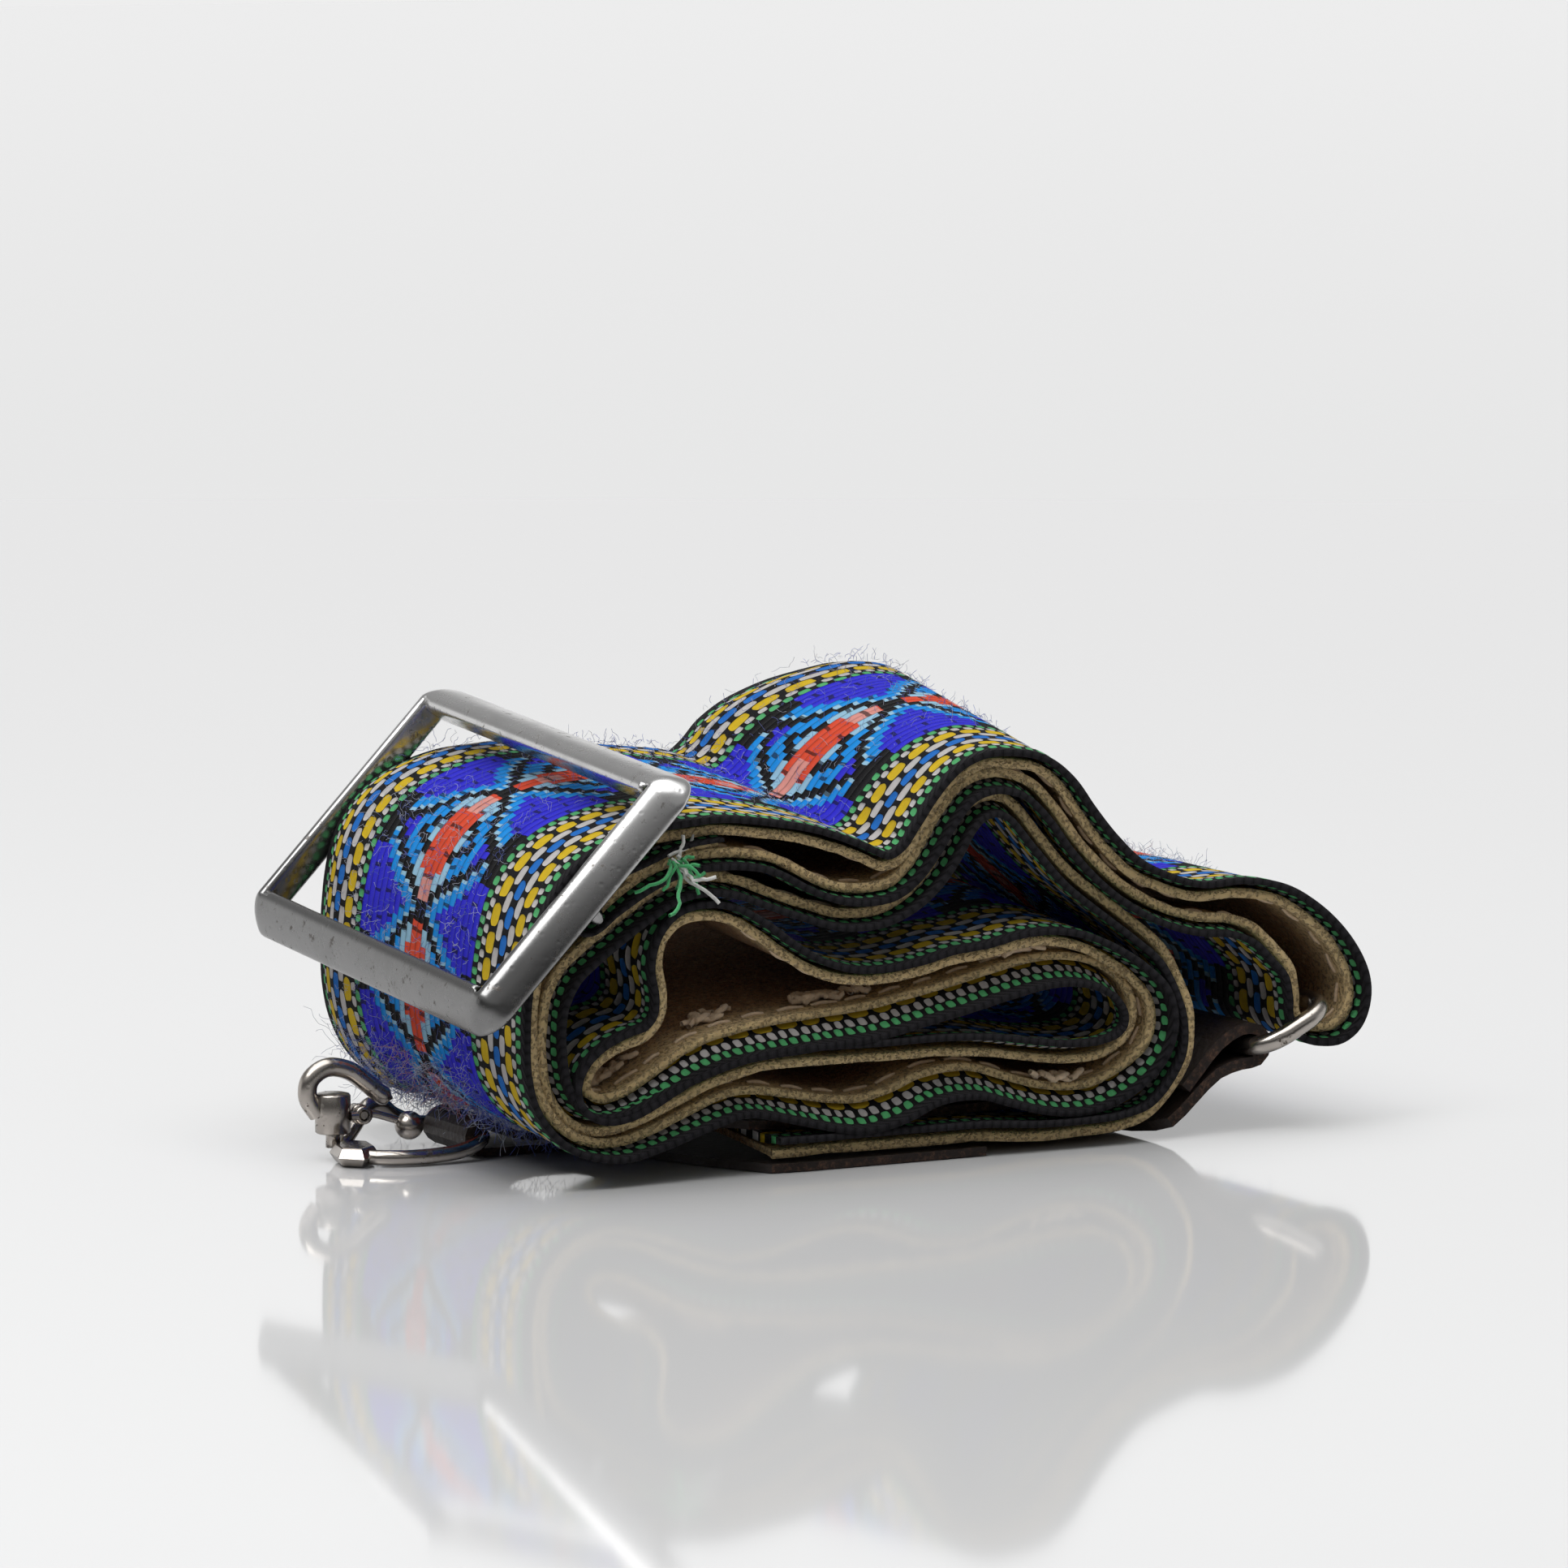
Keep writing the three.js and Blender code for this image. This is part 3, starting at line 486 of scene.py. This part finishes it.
# ---- the band and its lining -------------------------------------------------------------------------
STATION = 0.5
line, length_at = curve_through(FOLD, STATION)
SKIVED, SKIVED_LENGTH, SKIVE_FADE = 0.55, 24.0, 6.0
thin = SKIVED + (1 - SKIVED) * smooth(SKIVED_LENGTH, SKIVED_LENGTH + SKIVE_FADE, length_at)


def station_of(x, z, after=0.0, before=1e9):
    """Index of the fold's station nearest to a point, among those in a stretch of its length."""
    gap = (line[:, 0] - x) ** 2 + (line[:, 1] - z) ** 2
    gap = np.where((length_at > after) & (length_at < before), gap, 1e9)
    return int(np.argmin(gap))


def fold_frame(y):
    """Placed line and its left normals at a depth y, which may vary along the line."""
    x, z = across(line[:, 0], line[:, 1], y)
    placed = np.stack([x, z], 1)
    tangent = np.gradient(placed, axis=0)
    tangent /= np.linalg.norm(tangent, axis=1)[:, None]
    return placed, np.stack([-tangent[:, 1], tangent[:, 0]], 1)


def trim(y):
    """Share of the full offset left at a depth y: the pressed edges are thinner than the middle."""
    return 1 - 0.22 * smooth(2.2, 0, np.minimum(y + HALF, HALF - y))


def ply(name, low, high, columns, near, far, bend, material, swell=0.0):
    """Sheet between two offsets left of the fold.

    near and far give its edges' y, bend its margin's extra offset and swell the near edge's extra thickness.
    """
    rows = len(line)
    share = columns[None, :]
    y = near[:, None] * (1 - share) + far[:, None] * share
    side_near, side_far = [], []
    for j in range(len(columns)):
        placed, normals = fold_frame(y[:, j])
        extra = bend(y[:, j])
        for offset, store in ((low, side_near), (high + swell * smooth(2.2, 0.8, y[:, j] + HALF), side_far)):
            o = offset * thin * trim(y[:, j]) + extra
            moved = placed + normals * o[:, None]
            store.append(np.stack([moved[:, 0], y[:, j], moved[:, 1]], 1))
    ring = side_near + side_far[::-1]
    vertices = np.stack(ring, 1)
    v = np.concatenate([y.T, y.T[::-1]]).T + HALF
    u = np.broadcast_to(length_at[:, None], v.shape)
    n = len(ring)
    faces = grid_faces(rows, n)[:, ::-1]
    half = n // 2
    caps = []
    for base, flip in ((0, False), ((rows - 1) * n, True)):
        for j in range(half - 1):
            quad = [base + j, base + n - 1 - j, base + n - 2 - j, base + j + 1]
            caps.append(quad[::-1] if not flip else quad)
    faces = np.vstack([faces, np.array(caps)[:, ::-1]])
    obj = mesh_object(name, vertices.reshape(-1, 3), faces, np.stack([u, v], -1).reshape(-1, 2))
    obj.data.materials.append(material)
    return obj


def margin_columns(fine, middle):
    edge = np.linspace(0, 0.12, fine, endpoint=False)
    return np.concatenate([edge, np.linspace(0.12, 0.88, middle), 1 - edge[::-1]])


# how far the woven margin stands away from the lining along the fold: most where the layer lies pattern down
marks = [((0, 33), 0.2, 0, 60), ((16, 39), 0.5, 40, 120), ((40, 22.7), 0.5, 60, 140),
         ((0, 33), 0.25, 150, 260), ((-30, 3.9), 0.3, 200, 330), ((0, 5.9), 1.5, 250, 380),
         ((26, 5.5), 1.2, 300, 400), ((23, 22), 0.2, 350, 430), ((-18, 27), 0.3, 380, 470),
         ((-30, 8.5), 0.9, 440, 520), ((-8, 14.7), 1.5, 450, 560), ((21, 19.3), 1.3, 480, 600),
         ((10, 11.3), 0.2, 560, 640), ((-17, 30.4), 0.5, 640, 760), ((16, 36.7), 0.5, 680, 800),
         ((38, 9), 0.6, 720, 820), ((10, 2.35), 0.2, 760, 900)]
stations = [station_of(*point, after, before) for point, _, after, before in marks]
order = np.argsort(stations)
droop = np.interp(np.arange(len(line)), np.array(stations)[order], np.array([m[1] for m in marks])[order])

# the far edge curls inwards along the outermost layer and the big loop, by up to curl_far
outer = smooth(105, 135, length_at) * smooth(330, 290, length_at)
curl_far = 1.1 * outer


def band_bend(y):
    sag = 1.1 * smooth(4.2, -0.4, y + HALF) + 0.5 * smooth(3.6, 0, HALF - y) * (1 - outer)
    return -droop * sag + curl_far * smooth(7.0, 0, HALF - y) ** 1.4


def lining_bend(y):
    ripple = 0.10 * noise1(length_at, 2.2, 5) * smooth(2.0, 0, y + HALF)
    return ripple + curl_far * smooth(7.0, 0, HALF - y) ** 1.4


near_band = -HALF - 0.5 + 0.30 * noise1(length_at, 9, 1)
near_suede = -HALF + 0.55 + 1.25 * droop + (0.25 + 0.1 * droop) * noise1(length_at, 6, 2)
far_band = HALF + 0.3 + 0.3 * noise1(length_at, 9, 3)
woven = ply("woven_strap", -1.0, -0.1, margin_columns(10, 44), near_band, far_band, band_bend, JACQUARD)
far_suede = HALF - 1.1 + 0.4 * noise1(length_at, 6, 4)
lining = ply("suede_strap", 0.1, 0.9, margin_columns(8, 30), near_suede, far_suede, lining_bend, SUEDE,
             swell=0.38)
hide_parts("woven_band")
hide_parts("suede_lining")


# ---- tubes, turned pieces and loose fibres --------------------------------------------------------------
def tube_mesh(path, radius, sides=12, closed=False):
    """Vertices and quads of a round tube along a path; radius may vary."""
    p = np.asarray(path, float)
    n = len(p)
    r = np.broadcast_to(radius, n)
    tangent = np.roll(p, -1, 0) - np.roll(p, 1, 0) if closed else np.gradient(p, axis=0)
    tangent /= np.linalg.norm(tangent, axis=1)[:, None]
    normal = np.cross(tangent[0], [0.13, 0.2, 1.0])
    normal /= np.linalg.norm(normal)
    rings = []
    angle = np.linspace(0, 2 * math.pi, sides, endpoint=False)
    for i in range(n):
        normal = normal - tangent[i] * np.dot(normal, tangent[i])
        normal /= np.linalg.norm(normal)
        other = np.cross(tangent[i], normal)
        rings.append(p[i] + r[i] * (np.cos(angle)[:, None] * normal + np.sin(angle)[:, None] * other))
    vertices = np.vstack(rings)
    return vertices, grid_faces(n, sides, closed_rows=closed)


def joined_mesh(name, pieces, material, body="strap", smooth_faces=True):
    vertices, faces, base = [], [], 0
    for v, f in pieces:
        vertices.append(v)
        faces.append(f + base)
        base += len(v)
    obj = mesh_object(name, np.vstack(vertices), np.vstack(faces), smooth_faces=smooth_faces, body=body)
    obj.data.materials.append(material)
    return obj


def fibres(name, roots, lean, count_points, length, radius, material, curl=0.5, sides=3):
    """Loose fibres: each grows from its root along lean and wanders."""
    pieces = []
    for root, direction in zip(roots, lean):
        d = direction / (np.linalg.norm(direction) + 1e-9)
        size = length * rng.uniform(0.5, 1.4)
        point, path = np.array(root, float), [np.array(root, float)]
        for _ in range(count_points - 1):
            d = d + rng.normal(0, curl, 3)
            d /= np.linalg.norm(d)
            point = point + d * size / (count_points - 1)
            point[2] = max(point[2], 0.15)
            path.append(point.copy())
        pieces.append(tube_mesh(path, radius, sides))
    return joined_mesh(name, pieces, material)


def lathe_mesh(profile, centre, axis=(0, 0, 1), sides=40):
    a = np.array(axis, float) / np.linalg.norm(axis)
    n = np.cross(a, [0.3, 1, 0.2])
    n /= np.linalg.norm(n)
    o = np.cross(a, n)
    t = np.linspace(0, 2 * math.pi, sides, endpoint=False)
    circle = np.cos(t)[:, None] * n + np.sin(t)[:, None] * o
    rings = [np.array(centre) + a * h + max(r, 1e-4) * circle for r, h in profile]
    return np.vstack(rings), grid_faces(len(rings), sides)


# ---- slide ---------------------------------------------------------------------------------------------
TILT = math.atan2(3.95, 50.8)
PITCH = math.radians(47.4)
SLIDE_CENTRE = np.array([-31.5, -0.1, 28.4 + 3.95 * (-0.1 + HALF) / WIDTH])
along_slide = np.array([math.cos(PITCH), 0, math.sin(PITCH)])
out_slide = np.array([-math.sin(PITCH), 0, math.cos(PITCH)])
SLIDE_RISE = 2.4  # the frame stands this far out from its bar


def slide_point(local):
    """From the slide's own axes to the drafting frame."""
    x, y, z = np.moveaxis(np.asarray(local, float), -1, 0)
    p = x[..., None] * along_slide + y[..., None] * np.array([0, 1, 0]) + z[..., None] * out_slide
    c, s = math.cos(TILT), math.sin(TILT)
    turned = np.stack([p[..., 0], p[..., 1] * c - p[..., 2] * s, p[..., 1] * s + p[..., 2] * c], -1)
    return turned + SLIDE_CENTRE


def rounded_rectangle(length, width, radius, steps=10):
    points, normals = [], []
    for cx, cy, q in ((1, 1, 0), (-1, 1, 1), (-1, -1, 2), (1, -1, 3)):
        for k in range(steps + 1):
            a = (q + k / steps) * math.pi / 2
            c, s = math.cos(a), math.sin(a)
            points.append([cx * (length / 2 - radius) + radius * c, cy * (width / 2 - radius) + radius * s])
            normals.append([c, s])
    p, n = np.array(points), np.array(normals)
    fine, fine_n = [], []
    for i in range(len(p)):
        j = (i + 1) % len(p)
        pieces = max(int(np.linalg.norm(p[j] - p[i]) / 1.2), 1)
        for k in range(pieces):
            fine.append(p[i] + (p[j] - p[i]) * k / pieces)
            m = n[i] + (n[j] - n[i]) * k / pieces
            fine_n.append(m / np.linalg.norm(m))
    return np.array(fine), np.array(fine_n)


def slide_mesh():
    outline, normals = rounded_rectangle(33.7, 57.6, 3.4)
    # section from the inner back corner round the crowned outer face: out from the middle, up from the plane
    section = [(-2.9, -1.5), (-3.1, -0.8), (-3.2, 0.4), (-3.15, 1.3), (-2.9, 1.68), (-2.4, 1.78),
               (-1.7, 1.45), (-0.9, 0.6), (-0.3, -0.5), (0.0, -1.3), (0.0, -1.62), (-0.2, -1.8),
               (-1.2, -1.85), (-2.3, -1.8)]
    sec, _ = curve_through(section, 0.22, closed=True)
    sec = sec[:-1]
    rings = []
    for q, n in zip(outline, normals):
        inward = 0.97 + 0.3 * n[0] ** 2
        out = sec[:, 0] * inward
        ring = np.stack([q[0] + n[0] * out, q[1] + n[1] * out, sec[:, 1] + SLIDE_RISE], 1)
        rings.append(slide_point(ring))
    v = np.vstack(rings)
    f = grid_faces(len(rings), len(sec), closed_rows=True)
    bar_path = slide_point(np.array([[0, y, 0] for y in np.linspace(-27.4, 27.4, 20)]))
    lugs = []
    for y in (-27.2, 27.2):
        lug_path = slide_point(np.array([[0, y, h] for h in (-0.9, -0.3, 0.6, 1.6)]))
        lugs.append(tube_mesh(lug_path, (0.5, 0.8, 0.85, 0.85), 14))
    return [(v, f), tube_mesh(bar_path, 0.9, 16), *lugs]


slide = joined_mesh("slide_metal", slide_mesh(), NICKEL, "slide")
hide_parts("slide_buckle")

# ---- wide ring -----------------------------------------------------------------------------------------
ring_outline, _ = rounded_rectangle(math.hypot(55.5 - 47.3, 13.3 - 9.1), 54.4, 3.4)
lean = math.atan2(13.3 - 9.1, 55.5 - 47.3)
ring_path = np.stack([51.4 + ring_outline[:, 0] * math.cos(lean), ring_outline[:, 1],
                      11.2 + ring_outline[:, 0] * math.sin(lean)], 1)
ring = joined_mesh("ring_metal", [tube_mesh(ring_path, 1.0, 18, closed=True)], DARK_NICKEL, "ring")
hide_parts("wide_ring")

# ---- snap hook -------------------------------------------------------------------------------------------
EYE_PATH = [
    (-31.6, -1.6, 2.25), (-32.4, -2.6, 1.9), (-34.6, -3.1, 1.2), (-38.2, -3.2, 0.9), (-42.0, -2.6, 0.9),
    (-44.6, -0.4, 0.9), (-45.6, 2.6, 0.9), (-44.4, 5.0, 1.4), (-42.2, 6.8, 3.0), (-40.2, 8.0, 4.7),
    (-38.4, 8.8, 4.7), (-36.6, 9.2, 3.4), (-34.2, 9.2, 2.4), (-32.3, 8.7, 2.25), (-31.6, 7.7, 2.25),
    (-31.6, 5.5, 2.25), (-31.6, 3.0, 2.25), (-31.6, 0.6, 2.25),
]
HOOK_PATH = [(-47.3, 4.9, 4.8), (-48.4, 5.0, 6.6), (-48.2, 4.9, 8.4), (-46.4, 4.8, 9.6), (-44.0, 4.6, 9.2),
             (-41.9, 4.4, 7.7), (-40.3, 4.2, 6.4), (-39.2, 4.0, 6.0)]
eye_line = curve_through(EYE_PATH, 0.35, closed=True)[0][:-1]
hook_line = curve_through(HOOK_PATH, 0.3)[0]
tip = 1 - smooth(0.8, 0.0, np.linalg.norm(hook_line - hook_line[-1], axis=1)) * 0.9
barrel_profile = [(0.0, 4.2), (1.3, 4.2), (1.72, 4.1), (1.85, 3.9), (1.85, 0.15), (1.7, 0.0), (1.0, 0.0),
                  (1.0, 0.3)]
boss_profile = [(0.0, -0.9), (2.0, -0.9), (2.15, -0.8), (2.75, 0.0), (2.15, 0.8), (2.0, 0.9), (0.0, 0.9)]


def boss_mesh():
    v, f = lathe_mesh(boss_profile, (0, 0, 0), sides=6)
    c, s = math.cos(-0.35), math.sin(-0.35)
    x, y = v[:, 0] * 0.95, v[:, 1] * 1.6
    return np.stack([x * c - y * s - 44.8, x * s + y * c + 1.4, v[:, 2] * 1.05 + 1.0], 1), f


eye = joined_mesh("eye_metal", [tube_mesh(eye_line, 0.8, 16, closed=True),
                                lathe_mesh([(0, 0), (0.75, 0), (0.75, 2.4), (0, 2.5)],
                                           (-45.8, 4.5, 1.3))], DARK_NICKEL, "eye")
boss = joined_mesh("eye_boss", [boss_mesh()], DARK_NICKEL, "eye", smooth_faces=False)
hook = joined_mesh("hook_metal", [
    tube_mesh(hook_line, 1.0 * tip, 18),
    lathe_mesh(barrel_profile, (-45.8, 4.5, 2.8))], DARK_NICKEL, "hook")
GATE_AXIS = (-42.9, 4.3, 4.6)
GATE_PATH = [GATE_AXIS, (-41.3, 4.3, 4.5), (-39.6, 4.0, 4.0), (-37.6, 3.7, 3.3)]
gate_line = curve_through(GATE_PATH, 0.3)[0]
gate_collar = [(0.6, -0.4), (1.05, -0.4), (1.05, 0.4), (0.6, 0.4)]
ball = [(1.5 * math.sin(a), -1.5 * math.cos(a)) for a in np.linspace(0, math.pi, 16)]
gate = joined_mesh("gate_metal", [
    tube_mesh(gate_line, 0.42, 12), lathe_mesh(gate_collar, GATE_AXIS, (0, 1, 0)),
    lathe_mesh(ball, (-37.5, 3.6, 3.1), (0.5, -0.85, 0.1))], DARK_NICKEL, "gate")
cheek_profile = [(0.6, -0.3), (0.95, -0.3), (0.95, 0.3), (0.6, 0.3), (0.6, -0.3)]
for y in (3.3, 5.3):
    cheek = joined_mesh(f"hook_cheek_{'near' if y < 4 else 'far'}", [
        lathe_mesh(cheek_profile, (-42.9, y, 4.6), (0, 1, 0)),
        tube_mesh([(-44.4, y, 4.6), (-43.6, y, 4.6)], 0.5, 10)], DARK_NICKEL, "hook")
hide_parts("hook_eye")
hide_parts("hook_body")
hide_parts("gate_lever")

# ---- leather and stitches carried over --------------------------------------------------------------
carried = dict(leather_ring_tab=LEATHER, leather_hook_tab=LEATHER, gate_pin=DARK_NICKEL)
carried.update({f"tab_stitch_{i}": THREAD for i in range(1, 11)})
for node, material in carried.items():
    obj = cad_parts[node]
    obj.data.materials.clear()
    obj.data.materials.append(material)

# ---- the seam through band and lining, its loose tufts, and a fray at the slide --------------------------
def lining_point(length, y, offset):
    i = int(np.clip(np.searchsorted(length_at, length), 1, len(line) - 2))
    a, b = (np.array(across(line[k, 0], line[k, 1], y)) for k in (i - 1, i + 1))
    tangent = (b - a) / np.linalg.norm(b - a)
    x, z = across(line[i, 0], line[i, 1], y)
    return np.array([x - tangent[1] * offset, y, z + tangent[0] * offset])


dashes = []
seam = 34.0
while seam < length_at[-1] - 30:
    i = int(np.searchsorted(length_at, seam))
    y = near_suede[i] + 1.9 + rng.normal(0, 0.08)
    span = rng.uniform(2.3, 3.1)
    path = [lining_point(seam + span * k, y, 0.88 + 0.17 * math.sin(math.pi * k))
            for k in np.linspace(0, 1, 6)]
    dashes.append(tube_mesh(path, 0.2, 7))
    seam += 4.0
seam_thread = joined_mesh("seam_thread", dashes, THREAD)

tufts = [((-14.0, 13.9), 450, 560), ((-4.0, 15.1), 450, 560), ((-1.0, 15.3), 450, 560),
         ((-26, 9.0), 440, 520), ((-29.5, 8.3), 440, 520), ((21, 19.3), 480, 600), ((9, 32.5), 30, 120),
         ((24, 6.0), 250, 380)]
knots = []
for point, after, before in tufts:
    depth = 5.6 if point[0] < 0 and point[1] < 16 else 3.0
    at = length_at[station_of(*point, after, before)]
    for _ in range(4):
        middle = at + rng.normal(0, 1.5)
        reach = rng.uniform(1.0, 1.9)
        y0 = -HALF + depth + rng.normal(0, 0.35)
        turns, lag = rng.uniform(0.8, 1.6), rng.uniform(0, 6)
        path = [lining_point(middle + reach * (2 * k - 1) + 0.25 * math.sin(9 * k + lag),
                             y0 + 0.6 * math.sin(2 * math.pi * turns * k + lag),
                             1.15 + 0.55 * abs(math.sin(math.pi * 1.5 * k + lag)))
                for k in np.linspace(0, 1, 16)]
        knots.append(tube_mesh(path, 0.34 * (0.7 + 0.3 * np.sin(np.linspace(0.4, 2.8, 16))), 7))
tuft = joined_mesh("seam_tufts", knots, THREAD)
for name, tint, count in (("fray_green", "green", 9), ("fray_white", "white", 5)):
    start = np.array([-22.6, -27.2, 33.4])
    roots = start + rng.normal(0, 0.35, (count, 3))
    leans = np.array([0.75, -0.35, -0.5]) + rng.normal(0, 0.32, (count, 3))
    fray = fibres(name, roots, leans, 12, 5.4, 0.19, FUZZ[tint], 0.30, 6)

# ---- fuzz on the weave -------------------------------------------------------------------------------------
def surface_points(first, last, y_low, y_high, offset, count):
    """Points on the pattern side, and their outward directions."""
    index = rng.integers(first, last, count)
    y = rng.uniform(y_low, y_high, count)
    x, z = across(line[index, 0], line[index, 1], y)
    following = np.minimum(index + 1, len(line) - 1)
    ahead = np.stack(across(line[following, 0], line[following, 1], y), 1)
    tangent = ahead - np.stack([x, z], 1)
    tangent /= np.linalg.norm(tangent, axis=1)[:, None] + 1e-9
    outward = np.stack([tangent[:, 1], np.zeros(count), -tangent[:, 0]], 1)
    along = np.stack([tangent[:, 0], np.zeros(count), tangent[:, 1]], 1)
    points = np.stack([x, y, z], 1) + outward * offset
    return points, outward, along


top_start, loop_start = station_of(40, 26, 100, 300), station_of(-30, 33.4, 150, 300)
loop_low, loop_end = station_of(-36.6, 9.1, 200, 330), station_of(-27, 3.8, 200, 340)
patches = [
    ("fuzz_top", top_start, loop_start, -12, 24, 1100, "blue", 0.9),
    ("fuzz_top_pale", top_start, loop_start, -14, 24, 500, "pale", 1.1),
    ("fuzz_loop", loop_start, loop_low, -13, 14, 700, "blue", 0.8),
    ("fuzz_loop_pale", loop_start, loop_low, -14, 20, 500, "pale", 1.0),
    ("fuzz_low", loop_low, loop_end, -14, 20, 900, "blue", 1.8),
    ("fuzz_low_pale", loop_low, loop_end, -10, 24, 500, "pale", 2.4),
    ("fuzz_pink", loop_low, loop_end, -2, 8, 220, "pink", 1.6),
    ("fuzz_slope", station_of(40, 26, 100, 300) - 60, top_start, -10, 24, 700, "pale", 1.2),
]
for name, first, last, y_low, y_high, count, tint, size in patches:
    first, last = sorted((first, last))
    roots, outward, along = surface_points(first, last, y_low, y_high, 1.0, count)
    lean_to = outward * 0.55 + along * rng.normal(0, 1.0, (count, 1)) + rng.normal(0, 0.5, (count, 3))
    fuzz = fibres(name, roots, lean_to, 6, size * 1.6, 0.022, FUZZ[tint], 0.55)


# ---- floor, light, camera ---------------------------------------------------------------------------
BACKDROP = 0.855  # how bright the sides and back of the studio are, and its overhead light
OVERHEAD = 2.7


def floor_material():
    p = Paint("pale_floor")
    here = p.place()
    colour = p.mix(p.noise(here, 6.0, 3), (0.565, 0.565, 0.568), (0.575, 0.575, 0.578))
    p.set(Base_Color=colour, Roughness=0.06, Specular_IOR_Level=0.55)
    return p.material


bpy.ops.mesh.primitive_plane_add(size=6, location=(0, 1.2, -0.0001))
floor = bpy.context.object
floor.name = "floor"
floor.data.materials.append(floor_material())

world = bpy.data.worlds.new("studio")
world.use_nodes = True
sky = world.node_tree
direction = sky.nodes.new("ShaderNodeTexCoord").outputs["Generated"]
axes = sky.nodes.new("ShaderNodeSeparateXYZ")
sky.links.new(direction, axes.inputs[0])
dx, dy, dz = (Value(sky, out) for out in axes.outputs)
front = (dx * -0.47 - dy * 0.88).step(-0.15, 0.5) * (1.0 - dz.step(0.25, 0.8))
rise = dz.step(0.18, 0.42)
level = (1.0 - front) * (1.0 - rise) * BACKDROP + front * 0.06 + rise * 0.30 + dz.step(0.72, 0.92) * OVERHEAD
sky.links.new(level.socket, sky.nodes["Background"].inputs["Strength"])
sky.nodes["Background"].inputs["Color"].default_value = (1.0, 1.0, 1.0, 1)
bpy.context.scene.world = world


def area(name, place, target, size, power):
    light = bpy.data.lights.new(name, "AREA")
    light.shape = "RECTANGLE"
    light.size, light.size_y = size
    light.energy = power
    obj = bpy.data.objects.new(name, light)
    obj.location = place
    obj.rotation_euler = (Vector(target) - Vector(place)).to_track_quat("-Z", "Y").to_euler()
    bpy.context.scene.collection.objects.link(obj)
    return obj


area("key", (-0.45, -0.1, 0.6), (0, 0, 0.02), (0.4, 0.4), 2.4)

AZIMUTH, ELEVATION, DISTANCE = math.radians(-28.1), math.radians(6.7), 0.9
look = Vector((4.66, 0, 36.78)) * MM + Vector(OFFSET * MM)
flat = math.cos(ELEVATION)
back = Vector((math.sin(AZIMUTH) * flat, -math.cos(AZIMUTH) * flat, math.sin(ELEVATION)))
camera = bpy.data.objects.new("camera", bpy.data.cameras.new("camera"))
camera.location = look + back * DISTANCE
camera.rotation_euler = (-back).to_track_quat("-Z", "Y").to_euler()
camera.data.lens = 36 * DISTANCE / (1932 / 11.71 * MM)
camera.data.clip_start, camera.data.clip_end = 0.05, 20
bpy.context.scene.collection.objects.link(camera)
bpy.context.scene.camera = camera
bpy.context.scene.view_settings.view_transform = "Standard"
